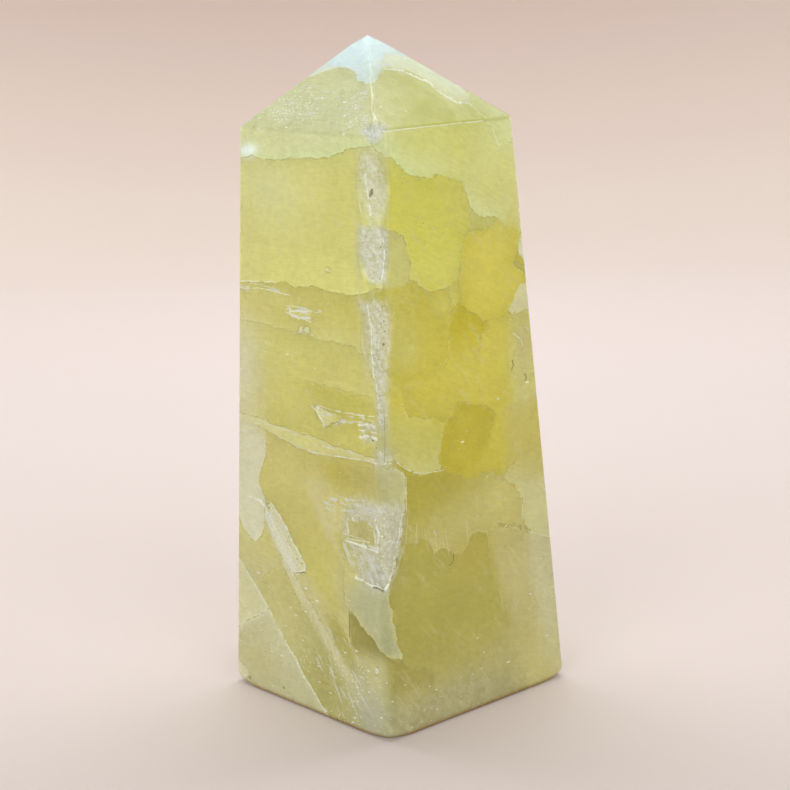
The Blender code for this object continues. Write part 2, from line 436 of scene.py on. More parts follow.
# Each sheet of patches lies over the one before. Places are across and up: on the front chart across
# is measured from the front edge, negative on the left face; on the back chart from the back edge,
# negative on the far left face. Below the foot, up runs inwards over the base.
UNDER_SHEET = [
    # Mustard band on the left face
    Patch("mustard", [
        (-60, 59), (-44, 58.4), (-34, 57.9), (-28, 57.9), (-18, 57.5), (-14.7, 57.4), (-13, 57.1),
        (-9.9, 57.3), (-6.4, 57), (-4.9, 57.1), (-3.9, 56.5), (-2.1, 56.3), (-0.5, 56), (-0.5, 67),
        (-60, 67)], edge="band_pale", reach=1.3, rim=-0.1),
    # Ochre under the big yellow patch
    Patch("under_ochre", [
        (0.7, 66.5), (8.5, 66.5), (13.5, 65.5), (14.2, 62), (13.7, 58), (13.4, 54), (11, 52.2), (8, 51.6),
        (5, 51.6), (3.9, 51.8), (2, 53.5), (0.7, 58)], edge="ochre_edge", reach=1.8, rim=0.05),
    # Right edge below the flaked corner, and the darker stretch under it
    Patch("right_field", [
        (25.5, 59), (25.9, 55), (25.2, 51), (24.6, 47.6), (24.4, 44.6), (26, 45.2), (31.4, 45.7), (40, 46),
        (40, 60)], edge="green_paler", reach=1.4, fade=((29, 50), (25.2, 50), None)),
    Patch("right_low", [
        (23.4, 43.9), (24.4, 44.6), (26, 45.2), (31.4, 45.7), (40, 46), (40, 36), (30, 34), (24.3, 34.3),
        (23, 38), (22.6, 41)], edge="ochre_haze", reach=1, fade=((27, 40), (23.4, 40), None), rim=0.1),
    # Greenish side of the yellow
    Patch("green_yellow", [
        (0.8, 74), (7.2, 73.5), (7.2, 66), (5.5, 64.9), (0.8, 64.3)], edge="green_paler", reach=1.2),
    # Pale green left of the deepest patch
    Patch("green_pale", [
        (1.1, 53.5), (3.9, 51.8), (4.3, 50.4), (4.7, 48.4), (5.4, 46.9), (8, 46.2), (13.6, 44.6),
        (14.5, 42), (12, 38), (10, 37.9), (6.3, 38.3), (5, 39.2), (3.3, 40.4), (1.5, 40.9), (-0.3, 41.4),
        (-0.3, 46), (0.6, 50)], edge="green_paler", reach=1.5, fade=((7, 42), (9.5, 47.5), None), rim=-0.12,
        rim_reach=2.5),
    # Left face below the level line
    Patch("left_deep", [
        (-25, 51.1), (-22, 50.9), (-12, 50.4), (-2, 50.2), (-0.9, 48), (-0.6, 43), (-26, 43)],
        fade=((-8, 48.5), (-10, 44), None), rim=0.12),
    # Dark ochre on the right face
    Patch("dark_ochre", [
        (4.6, 38.6), (7.7, 38.1), (9.7, 38), (12.7, 37.5), (14, 37.1), (15.6, 36.3), (17, 35.4),
        (19, 35.5), (22, 35.8), (24.3, 34.3), (25.7, 33), (27.4, 32), (28.4, 30.5), (28.4, 25.8),
        (25.3, 26.8), (23.3, 27.2), (20.7, 27.7), (20.5, 26.2), (19.6, 27), (18, 27.4), (17, 26.8),
        (16.3, 25.8), (15, 24.8), (13.7, 25.1), (11.5, 26.2), (9.8, 25.8), (8.5, 27.4), (7.2, 28.8),
        (6.3, 28.2), (5, 28.6), (4, 28.3), (3.2, 27), (2.4, 26.4), (3.2, 30), (4.2, 33)],
        fade=((9, 35.5), (12, 27.5), "feather"), rim=-0.08),
    # Paler right side of the olive
    Patch("olive_haze", [
        (20.5, 27.5), (20.8, 22), (21.8, 18), (24.2, 14.4), (25.4, 9), (26, 3), (26.6, -3), (44, -3),
        (44, 22), (34, 23.2), (30, 24.7), (25.3, 26.8)], rim=-0.04,
        fade=((24.6, 20.6), (20.8, 19.4), None)),
    # Dark triangle under the sage
    Patch("dark_olive", [
        (-8.1, 17.9), (-6.6, 17.6), (-3, 15.6), (0.6, 13.4), (0.6, 10.2), (-4, 9.6), (-7.4, 11.4),
        (-8.1, 14.3)], fade=((-4, 13.8), (-3.4, 10.2), None)),
    # Orange field on the left face
    Patch("orange", [
        (-23.3, 42), (-26.6, 42), (-26.8, 38.7), (-28, 35.8), (-29.3, 33.2), (-27.7, 30.5), (-24.6, 28.2),
        (-22.3, 25.6), (-20, 23.2), (-17.8, 21), (-15, 18.6), (-11, 18), (-9, 20), (-8.6, 26), (-9.5, 31),
        (-8, 34.5), (-3, 34.5), (0, 37), (0.6, 41), (-5, 41), (-10, 41), (-15.5, 41)],
        fade=((-15, 30), (-10, 20), None)),
    # Olive band along the slanting veil
    Patch("olive_band", [
        (-29.3, 17.4), (-27.4, 14.9), (-26.2, 12.2), (-24.3, 10.2), (-21.9, 8), (-19.5, 5.4), (-17.6, 2.8),
        (-14.7, 0.6), (-12.6, -3), (-1, -3), (-1, 0.4), (-4.6, 3.3), (-8.2, 6.6), (-12, 9.9), (-16, 14.3),
        (-20, 18), (-24, 21.5)], fade=((-14.5, 5.5), (-22, 15), "olive_band_pale")),
    # Brown patch at the front foot
    Patch("olive_brown", [
        (2.7, 11.8), (3.3, 11), (5, 10), (6.7, 9.7), (8, 8.8), (9.2, 8.2), (9.5, 6), (8, 4.2), (4, 3.4),
        (1.4, 4.5), (1, 8), (1.2, 12.4)], fade=((5, 8.5), (4.4, 4.4), None)),
    # Far sides
    Patch("green_pale", [
        (30, 40), (22, 41.5), (17, 38), (12, 39.5), (9, 36), (3, 33.5), (-2, 36), (-6, 33.2), (-11, 35.5),
        (-14, 41), (-12, 47), (-7, 52), (-1, 54.5), (6, 57), (14, 55.5), (22, 58.5), (30, 55)],
        chart="back", edge="green_paler", reach=2.4, rim=-0.1, fade=((4, 50), (2, 38), None)),
    Patch("orange", [
        (-12, 33), (-18, 31), (-23, 33.5), (-28, 30), (-33, 28.5), (-34.5, 20), (-32, 15), (-25, 12.5),
        (-18, 15), (-11, 19), (-8, 26)], chart="back", edge="orange_deep", reach=3, rim=-0.1,
        fade=((-20, 27), (-17, 17), None)),
    Patch("mottled", [
        (34, 12), (31, 9.5), (24, 11.8), (17, 8.2), (11, 7.6), (5, 3.5), (0, 2.2), (0, -4), (34, -4)],
        chart="back", edge="straw_white", reach=1.6),
]
MIDDLE_SHEET = [
    # Lemon bed, the upper half of the left face
    Patch("lemon", [
        (-36, 63.2), (-30, 63.5), (-27, 63.9), (-24, 64.2), (-20, 64.6), (-17.9, 64.2), (-16.3, 64.5),
        (-12.3, 64.6), (-11, 64.3), (-7.3, 64.3), (-5, 64.2), (-3.8, 64.7), (-1.9, 64.9), (-1, 65.5),
        (0.6, 65.4), (1.1, 65.3), (1.1, 70), (1.1, 87), (-36, 87)], edge="bright_lemon", reach=2.5,
        rim=-0.14),
    # Big yellow patch of the right face
    Patch("yellow", [
        (0.8, 87), (0.8, 74), (3, 73.2), (5.6, 72.5), (6.1, 70), (6.4, 67.7), (6.4, 66.4), (8.1, 65.3),
        (9.2, 64.5), (10, 64.2), (12.5, 64.1), (14, 64.3), (15.6, 64.7), (16.4, 66.6), (17.2, 69.2),
        (18, 72), (19, 76), (19, 82), (14, 86)], rim=-0.12, rim_reach=1.8),
    # Deep patch below the ochre one
    Patch("deep", [
        (13.8, 58.1), (13.9, 59.2), (14.4, 60.3), (16.1, 61.6), (18.5, 61), (20.8, 59.6), (21.8, 57.6),
        (21.3, 56.7), (20.3, 56.2), (19.4, 53.6), (17, 51.2), (14.5, 50.6), (13.8, 52.4)],
        fade=((17, 57.5), (16.4, 51.5), None)),
    # Deepest patch, in the middle of the right face
    Patch("deepest_middle", [
        (14.8, 46.6), (15.2, 46.9), (16.4, 47.2), (17, 46.8), (18.8, 46.1), (20, 45.6), (21.6, 45.2),
        (22.5, 44.4), (23.4, 43.9), (22.8, 43.4), (22.5, 42.1), (21.8, 41.3), (21.6, 40.3), (21, 39),
        (19.5, 37.2), (17.5, 35.9), (15.2, 36.4), (14, 36.9), (12.7, 37.4), (11.4, 38.3), (11.2, 39.3),
        (10.9, 40.7), (11.7, 42.4), (12.3, 44), (13.4, 44.8), (14.3, 45.4)], edge="deepest", reach=1.8,
        fade=((17, 38), (19, 35.8), None)),
    # Greenish corner at the right edge
    Patch("corner_green", [
        (24.3, 34.3), (25.7, 33), (26.7, 32), (27.8, 31), (28.2, 29.3), (28.4, 25.8), (30, 24.8),
        (33.3, 23.2), (39, 21.5), (44, 24), (42, 33), (38, 38), (31, 37.6), (27, 36.5)],
        fade=((29, 32), (30, 36.5), None), rim=-0.06),
    # Straw-white left edge
    Patch("straw_white", [
        (-47, 44), (-40, 46), (-31, 45), (-26.5, 43.6), (-25.5, 42.5), (-25.9, 39.7), (-26.3, 37.8),
        (-27.2, 35.8), (-28, 34), (-28.3, 33.2), (-27.7, 32.2), (-26.7, 31.2), (-26.4, 29.8), (-26.9, 29.4),
        (-27.2, 27.3), (-27.9, 25.2), (-29.3, 23.7), (-31, 24.3), (-32.3, 25.3), (-33.8, 27), (-39, 29),
        (-41, 33), (-45, 38)], fade=((-31, 40.5), (-29, 45), None)),
    # Sage at the front edge
    Patch("sage", [
        (-8.4, 26.4), (-9, 23.4), (-9, 20.3), (-8.8, 18.7), (-7.3, 17.7), (-6.3, 17), (-5, 15.9),
        (-3, 14.9), (-2.3, 14), (-1.3, 13.4), (0, 12.8), (2.7, 12), (2.7, 13), (2.4, 14), (1.8, 15.5),
        (1.5, 17), (1.1, 19), (0.8, 21), (0.9, 23.5), (0.4, 26), (-4, 28)], edge="corner_green", reach=0.5,
        rim=-0.1, fade=((-5.5, 19), (-9.4, 23), None)),
    # Pale right edge of the olive
    Patch("right_pale", [
        (28.4, 25.4), (28, 20.4), (29.4, 17.8), (30.2, 15), (31.4, 12.2), (30.6, 8), (32.4, 3), (33, -3),
        (44, -3), (44, 21), (34, 23), (30, 24.6)], rim=-0.05, fade=((33, 17.4), (29.2, 16.6), None)),
    # Mottled foot of the left face
    Patch("mottled", [
        (-26.8, 13.8), (-29.7, 12), (-32.3, 10.7), (-34.3, 9.2), (-41, 6), (-41, -4), (-11, -4),
        (-13.2, 0.2), (-14.7, 1.3), (-16, 2.7), (-17.3, 4), (-18.7, 5), (-20.7, 7.7), (-23.3, 9.5),
        (-25.3, 11.7)], edge="flake_white", reach=0.35),
    # Slanting veils
    Patch("diagonal_pale", [
        (-24.5, 23.8), (-22.4, 22.4), (-19.6, 19.6), (-17, 17.2), (-13.4, 13.6), (-9.8, 10), (-6.6, 6.8),
        (-4, 4), (-1.6, 1), (-5.4, 0.4), (-8, 3.4), (-12, 8), (-16, 12.6), (-20.4, 17.6)],
        fade=((-14, 14), (-16.4, 11.4), None)),
    Patch("gap_olive", [
        (-17, 20.8), (-13, 17.6), (-9.8, 14.8), (-7.8, 12.2), (-6.4, 9.2), (-8.2, 8.6), (-11.4, 11.8),
        (-15.4, 16)], fade=((-10.5, 12.5), (-15, 18), None)),
    # Far sides
    Patch("lemon", [
        (-30, 65), (-24, 62.5), (-17, 63.4), (-10, 60.2), (-5, 61.5), (-1, 64), (1.5, 70), (1, 87),
        (-34, 87)], chart="back", edge="bright_lemon", reach=3, rim=-0.14),
    Patch("ochre", [
        (34, 66), (29.5, 64.5), (27.4, 61.2), (24, 60.4), (22.6, 62), (19, 62.4), (17.2, 60.2),
        (13.6, 59.6), (11.8, 61.8), (8.8, 63.6), (7.4, 67), (8, 70.4), (6.8, 74.6), (9.6, 79), (16, 82),
        (34, 80)], chart="back", edge="ochre_edge", reach=3, rim=-0.12, fade=((17, 66), (15, 77), None)),
    Patch("deepest_middle", [
        (20.6, 44.4), (23.2, 43.2), (24.9, 40.6), (24, 38.2), (24.6, 36.2), (22, 33.8), (19.4, 33.6),
        (17.8, 32.4), (15.4, 33.8), (14.2, 33.4), (12.6, 36.2), (13.2, 38.4), (12.4, 40.6), (14.8, 42),
        (15.4, 44.2), (17.6, 43.6)], chart="back", edge="deepest", reach=2, rim=0.2,
        fade=((19, 38.5), (14, 34.5), None)),
    Patch("diagonal_pale", [
        (-34, 22), (-29, 20.4), (-23, 15.6), (-17, 9.6), (-10, 4.6), (-4, 0.6), (-8, -2), (-14, 2),
        (-21, 8), (-28, 14.4), (-36, 17.4)], chart="back", fade=((-18, 10), (-20.4, 7.4), None)),
    Patch("sage", [
        (34, 27), (27, 24), (21, 18.4), (14.5, 15), (8, 9), (6.4, 11), (10, 17), (17, 22), (23, 28.5),
        (30, 31)], chart="back", edge="corner_green"),
]
UPPER_SHEET = [
    # Pale bed round the shoulder
    Patch("shoulder", [
        (-36, 82.6), (-29.4, 82.4), (-26.9, 82.5), (-24, 82.3), (-20, 82.4), (-17.9, 82.7), (-14.1, 82.9),
        (-12, 83.1), (-9.7, 83.3), (-7.9, 83.8), (-6, 84.2), (-5.5, 84.7), (-4.4, 84.9), (-2.2, 85.2),
        (0, 85.3), (1.9, 83.8), (3.1, 83.3), (4.2, 82.9), (5, 82.4), (5.9, 81.6), (7.2, 80.7), (9.1, 80.3),
        (9.7, 80.5), (10.3, 80.3), (12, 80.5), (13.4, 80.2), (14, 79.7), (14.8, 79.4), (15.6, 79.6),
        (16.6, 79.2), (17.2, 78.5), (17.5, 77.8), (17.6, 76.6), (18.4, 75.4), (20, 74.2), (21.3, 73.4),
        (23.1, 73.2), (25, 72.6), (27, 71.4), (29.6, 69.6), (36, 70), (36, 102), (-36, 102)],
        edge="mint_edge", reach=1.2, rim=-0.15, rim_reach=1.5),
    # Ochre patch at the right edge
    Patch("ochre", [
        (17.5, 71.8), (18.8, 71.6), (19.4, 71.9), (21.9, 71.9), (22.7, 72.2), (24.1, 73), (26.6, 73),
        (27.5, 72.5), (28.4, 71.9), (28.9, 71.1), (29.1, 69.9), (28.4, 68.5), (27.8, 66.8), (27.5, 66.1),
        (28.3, 65.3), (29.2, 64.7), (29.5, 63.2), (28, 60.8), (26.2, 59.5), (24.4, 58.3), (20.8, 58.3),
        (18.8, 59.5), (16.9, 60.5), (16.2, 62), (15.7, 64.7), (16.4, 68), (17.1, 70)], edge="ochre_edge",
        reach=1.8, rim=-0.1),
    # Pale band at mid height
    Patch("band_pale", [
        (-33, 43.3), (-26, 43.2), (-24, 42.6), (-21.7, 42.9), (-20, 42.4), (-15, 42.7), (-10, 41.9),
        (-5, 41.6), (0, 41.6), (2.2, 42.3), (2.6, 40.6), (1, 40.9), (-1, 40.9), (-5, 40.8), (-10, 40.4),
        (-15.5, 40), (-20, 40.5), (-24.3, 41.3), (-28, 42), (-33, 42.3)], edge="diagonal_pale", reach=0.4,
        rim=-0.06),
    # Blades
    Patch("diagonal_pale", [
        (-27, 29.8), (-24.2, 28.2), (-22, 25.6), (-19.6, 22.9), (-18.2, 22.4), (-17.6, 22.5), (-17.9, 21.6),
        (-19.5, 21.1), (-20.5, 21.3), (-20.9, 20.5), (-22.6, 22.4), (-25.6, 26.2), (-26.9, 27.8)],
        edge="straw_white", reach=0.3, fade=((-21.4, 23.6), (-23.4, 22.2), "tan_pale")),
    Patch("blade", [
        (-26.9, 31.2), (-25.3, 30.2), (-23.9, 29.5), (-23, 28.2), (-21.7, 26.5), (-20.8, 25.9),
        (-18.7, 23.6), (-17.6, 22.5), (-18.1, 22), (-20.6, 24), (-23.2, 27.2), (-25.4, 29.2)],
        edge="flake_white", reach=0.35, rim=-0.14),
    # Pale triangle at the left edge
    Patch("diagonal_pale", [
        (-33.5, 20), (-31.3, 18), (-29.3, 16), (-26.8, 13.8), (-29.7, 12), (-32.3, 10.7), (-34.3, 9.2),
        (-42, 7), (-42, 24)], edge="flake_white", reach=0.3),
    # White foot corner
    Patch("straw_white", [(-35.7, 4), (-32.7, 2.2), (-33.4, 1), (-35.5, -1), (-42, -1), (-42, 5)]),
    # White chips at the right edge
    Patch("chip_cream", [
        (27.5, 62.7), (29, 63), (30.2, 62.5), (33, 61), (33, 58.3), (30, 58.6), (28.7, 58.3), (26.5, 58.6),
        (26.2, 59.5), (26.7, 60.5), (26.8, 61.7)], rim=-0.1),
    Patch("flake_white", [
        (29.3, 71.6), (28.9, 70.4), (28.2, 69), (27.9, 68.4), (28.4, 67.2), (29.3, 66.2), (30, 65.4),
        (33, 65), (33, 72)]),
    Patch("flake_white", [(-2.8, 9.6), (-2.6, 10.5), (-1.9, 10.9), (-1.6, 10.2), (-2.2, 9.5)]),
    # Pale strip beside the big crust
    Patch("front_pale", [
        (-1.3, 40.7), (1.8, 40.2), (3.3, 39.8), (4.6, 38.4), (4.5, 35), (4.3, 33.2), (3.4, 30.4),
        (2.7, 27.8), (2, 25.6), (1.2, 23.6), (-0.9, 26), (-1.4, 34)], edge="straw_white", reach=0.25,
        rim=-0.12, fade=((1.2, 36), (-1.3, 36), None)),
    # White flakes of the left face
    Patch("band_pale", [
        (-19.8, 60), (-18.9, 60.7), (-16, 61.2), (-13.3, 61), (-13.1, 60.5), (-15, 59.7), (-17, 59.5),
        (-18.8, 59.6)], edge="tan_pale", reach=0.4, rim=-0.12, rim_reach=0.6,
        fade=((-18, 60), (-13.5, 60.4), None)),
    Patch("straw_white", [
        (-17.8, 57.5), (-16.9, 58.6), (-16.2, 58.2), (-15.5, 58.9), (-14.8, 58.4), (-14.6, 57.4),
        (-16, 57.7)], edge="flake_white", reach=0.3, rim=-0.12, rim_reach=0.5),
    Patch("band_pale", [
        (-14.3, 46.8), (-13.6, 47.1), (-10.6, 46.9), (-8.4, 46.7), (-8.1, 46.1), (-9.5, 45.4),
        (-10.7, 45.2), (-11.2, 44.7), (-12, 44.5), (-12.8, 45.1), (-13.9, 45.4)], edge="straw_white",
        reach=0.3, rim=-0.14, rim_reach=0.6, fade=((-12, 46), (-8.2, 46), None)),
    Patch("straw_white", [(-11.4, 67.4), (-10.6, 67.7), (-9.3, 67.5), (-9.5, 67.1), (-10.9, 67)]),
    # Far sides
    Patch("shoulder", [
        (-36, 82.6), (-30, 82.4), (-24, 80.6), (-19, 81.2), (-14, 78.6), (-8, 79.4), (-3, 77.4), (3, 79.8),
        (9, 78), (15, 75.4), (20, 76.4), (25, 73), (30, 70), (36, 70), (36, 102), (-36, 102)], chart="back",
        edge="mint_edge", reach=1.2, rim=-0.15, rim_reach=1.5),
    Patch("blade", [
        (-8, 30), (-5, 26.6), (-1.5, 21), (2, 16.5), (4.4, 15.6), (4, 18), (0.4, 23.4), (-3.6, 29.8),
        (-6.4, 31.6)], chart="back", edge="flake_white", reach=0.4, rim=-0.14),
    Patch("band_pale", [
        (-34, 43.4), (-26, 44.4), (-19, 43.2), (-12, 44.4), (-7, 43), (-7, 42.2), (-13, 42.8), (-20, 41.6),
        (-27, 42.8), (-34, 42.2)], chart="back", edge="diagonal_pale", reach=0.4, rim=-0.12),
]
STRIP_SHEET = [
    # Pale strip of the cap, and the pale right shoulder below it
    Patch("cap_pale", [
        (1.5, 94.5), (3.1, 94.9), (4, 94.8), (4.7, 94.6), (6.9, 94.4), (8.4, 94), (9.4, 93.6), (10.6, 93),
        (11.9, 92.3), (13.1, 91.6), (14, 90.9), (15, 90.3), (16.3, 89.8), (17.2, 89.7), (17.8, 89.9),
        (18.8, 89.5), (19, 90.6), (18.3, 91.6), (19, 93.4), (19, 102), (-1, 102), (-1, 94)],
        edge="flake_white", reach=0.25, rim=-0.06),
    Patch("tip_far", [
        (19, 91), (18.8, 89.6), (20, 88.8), (21.6, 87.7), (22.5, 86.9), (23.4, 85.8), (23.7, 85),
        (24.2, 84), (24.5, 83.4), (25, 83.2), (25.8, 83.7), (27.8, 83.9), (34, 84), (34, 96), (19, 96)],
        edge="mint_edge", reach=0.6),
    Patch("cap_pale", [
        (-14, 93.6), (-9, 94.4), (-5, 93), (-1, 94.2), (3, 92.6), (8, 93.4), (14, 92.2), (14, 102),
        (-14, 102)], chart="back"),
]
CAP_SHEET = [
    # Mint cap of the point
    Patch("mint_white", [
        (-20, 93.2), (-14, 94), (-12, 94.6), (-10.6, 94.9), (-8.8, 95.3), (-6.9, 95.3), (-5.3, 95.1),
        (-3.8, 94.8), (-2.5, 94.5), (-2.9, 93.5), (-0.9, 93.4), (0, 93.3), (1.2, 93.5), (1.5, 94.5),
        (2.6, 95.6), (3.1, 96.9), (4, 97), (5, 97.3), (6, 98), (6, 103), (-20, 103)], edge="cap_shade",
        reach=0.9, rim=-0.05),
    Patch("mint_white", [
        (-9, 96), (-4, 96.8), (0, 96), (5, 97), (9, 96.4), (9, 103), (-9, 103)], chart="back",
        edge="cap_shade", reach=0.9),
]
SHEETS = (UNDER_SHEET, MIDDLE_SHEET, UPPER_SHEET, STRIP_SHEET, CAP_SHEET)
# How strong the thin dark line along the patches of each sheet is
SHEET_LINES = (0.45, 0.65, 0.6, 0.25, 0.15)
# Distances to an outline are told apart up to this one
JAG_REACH = 6.0
# How much a pale rim brightens what lies under it, and how bright it may get
PALE_RIM = 1.35
RIM_LIMIT = 0.9

# How widely the grounds of the left and right side, and of the far sides, run into each other
FRONT_BLEND = 2.4
FAR_BLEND = 4.0
# The stone under all patches: height, then how it shows there. It darkens towards the foot, partly by
# the stone's own tone and partly as painted shade of the light from above fading down the sides
LEFT_GROUND = (
    (0, "left_low"),
    (19, "left_low"),
    (28, "mustard"),
    (45, "left_field"),
    (75, "lemon"),
    (95, "tip_left"),
)
RIGHT_GROUND = (
    (0, "foot_grey"),
    (7, "olive_grey"),
    (13, "olive"),
    (24, "olive"),
    (36, "ochre_edge"),
    (60, "ochre"),
    (80, "shoulder_right"),
    (95, "tip_right"),
)
FAR_GROUND = (
    (0, "foot_grey"),
    (10, "olive_grey"),
    (24, "olive_band"),
    (40, "mustard"),
    (60, "yellow"),
    (80, "shoulder_right"),
    (95, "tip_left"),
)

# Soft spots by chart: across, up, half width, half height, lean in degrees, colour, strength
SOFT_SPOTS = {
    "front": (
        # Painted shadow just under the edge of the pale shoulder bed
        (12.5, 79.3, 6, 1.4, -6, "yellow_edge", 0.7),
        (11, 67, 7, 2.4, 0, "bright_lemon", 0.2),
        (-24, 78, 9, 5, 0, "lemon_cool", 0.9),
        (-12, 67, 12, 1.8, 0, "bright_lemon", 0.7),
        (-7, 75, 4, 7, 0, "lemon_dusk", 0.4),
        (-29, 70, 3, 9, 0, "tan_pale", 0.6),
        (-31.5, 50, 5, 9, -4, "straw_white", 0.95),
        (-27.6, 83.3, 2, 1, 8, "glint", 0.95),
        (12, 86, 12, 4.5, 0, "shoulder_right", 0.9),
        (3, 84.6, 3, 1.2, -30, "mint_edge", 0.4),
        (23, 77, 6, 4, 0, "spill", 0.8),
        (27, 75, 3, 5, 0, "tan_pale", 0.8),
        (8, 91, 7, 3.4, -20, "tip_right", 1),
        (18, 88, 5, 2.2, -20, "tip_right", 0.5),
        (17, 82.5, 4.5, 4, 0, "lemon_dusk", 0.7),
        (25, 80, 4, 5, 0, "spill", 0.7),
        (4, 58.5, 3, 5.5, 0, "green_pale", 0.75),
        (5.5, 56, 2.2, 2.4, 0, "tan_pale", 0.3),
        (-9, 58.3, 7, 0.9, -1.5, "band_pale", 0.6),
        (-10.5, 9.5, 1.2, 8, 38, "diagonal_pale", 0.6),
        (-30, 5, 4.5, 3.5, 0, "olive_band_pale", 0.55),
        (-16, 7, 1.6, 5, 38, "gap_olive", 0.5),
        (-3.6, 69.5, 0.9, 4.5, 0, "veil_grey", 0.55),
        (-3.4, 79, 0.8, 4.5, 0, "veil_grey", 0.35),
        (-2.9, 57, 0.8, 5.5, 0, "diagonal_pale", 0.6),
        (1.9, 79, 0.9, 5, 0, "veil_grey", 0.6),
        (2.2, 60, 0.7, 5, 0, "diagonal_pale", 0.45),
        (26.5, 16, 1.1, 6, 4, "mottled", 0.35),
        (23.5, 20, 0.8, 4.5, 6, "mottled", 0.25),
        (-14, 35.5, 2.4, 2.2, 30, "diagonal_pale", 0.5),
        (30, 34, 3, 2, 0, "olive_haze", 0.6),
        (-12, 90, 14, 4, 0, "tip_left", 0.6),
        (27, 71, 1.8, 2.4, 0, "ochre_edge", 0.6),
        (12.8, 62.2, 2.2, 2, 0, "bright_lemon", 0.35),
        (28.5, 51, 2.6, 5, 8, "green_paler", 0.5),
        (9, 50, 4, 2, -10, "ochre_edge", 0.5),
        (-10, 50.9, 12, 0.6, 0, "band_pale", 0.5),
        (-12, 60, 9, 1.4, 0, "band_pale", 0.25),
        (-20, 62, 7, 1.6, 0, "tan_pale", 0.5),
        (-8.5, 38, 5.5, 2.2, 0, "orange_deep", 0.95),
        (-22, 37, 3, 3, 0, "green_paler", 0.4),
        (-14, 31.6, 0.8, 6, 37, "diagonal_pale", 0.4),
        (-11.6, 28.6, 0.6, 4, 37, "diagonal_pale", 0.4),
        (0.2, 38, 2, 3.4, 0, "veil_grey", 0.85),
        (0.4, 46, 1.4, 5, 0, "veil_grey", 0.8),
        (-9.6, 12.4, 1.3, 3.8, 35, "gap_olive", 0.9),
        (-13.5, 20.5, 2.4, 7, 38, "left_deep", 0.75),
        (-14, 9, 1.6, 6, 38, "olive_band", 0.7),
        (-3.5, 2.6, 4.2, 4.6, 20, "frost", 0.95),
        (13, 1.5, 12, 2, 0, "foot_grey", 0.6),
        (-31, 27.5, 3.5, 4.5, 0, "flake_white", 0.35),
        (-24.4, 25.4, 1.1, 5.4, 39, "flake_white", 0.55),
        (-2, 33.9, 3, 1.1, 0, "flake_white", 0.8),
        (0.4, 87, 2, 1.2, 0, "flake_white", 0.8),
        (-5, 29.9, 3.2, 2.1, 0, "olive_grey", 0.95),
        (-6, 9, 2.4, 2.4, 30, "crust_shade", 0.75),
        (-10, 4, 2.6, 2.4, 0, "olive_grey", 0.6),
        (-4, 38, 2.8, 2.2, 0, "olive_grey", 0.75),
        (29, 54, 2.2, 4, 0, "olive_haze", 0.8),
        (23, 31, 3.6, 2.8, 0, "ochre_haze", 0.9),
        (26, 28, 2.4, 2, 0, "feather", 0.6),
        (17, 24, 4, 3, 0, "olive_warm", 0.8),
        (25, 8, 4, 5, 0, "olive_grey", 0.6),
        (14, 3, 9, 3, 0, "foot_grey", 0.6),
        (31, 3, 4, 4, 0, "olive_band_pale", 0.5),
        (33, 13, 2.2, 9, 0, "mottled", 0.6),
        (30, 20, 2.4, 4, 10, "mottled", 0.35),
    ),
    "back": (
        (12, 68, 8, 5, 0, "yellow", 0.5),
        (-16, 72, 9, 6, 0, "lemon_cool", 0.6),
        (14, 24, 7, 9, 30, "corner_green", 0.5),
        (-22, 22, 6, 5, 0, "orange_deep", 0.6),
        (-9, 20, 1.3, 9, 30, "diagonal_pale", 0.8),
        (4, 46, 5, 7, 0, "bright_lemon", 0.35),
    ),
}

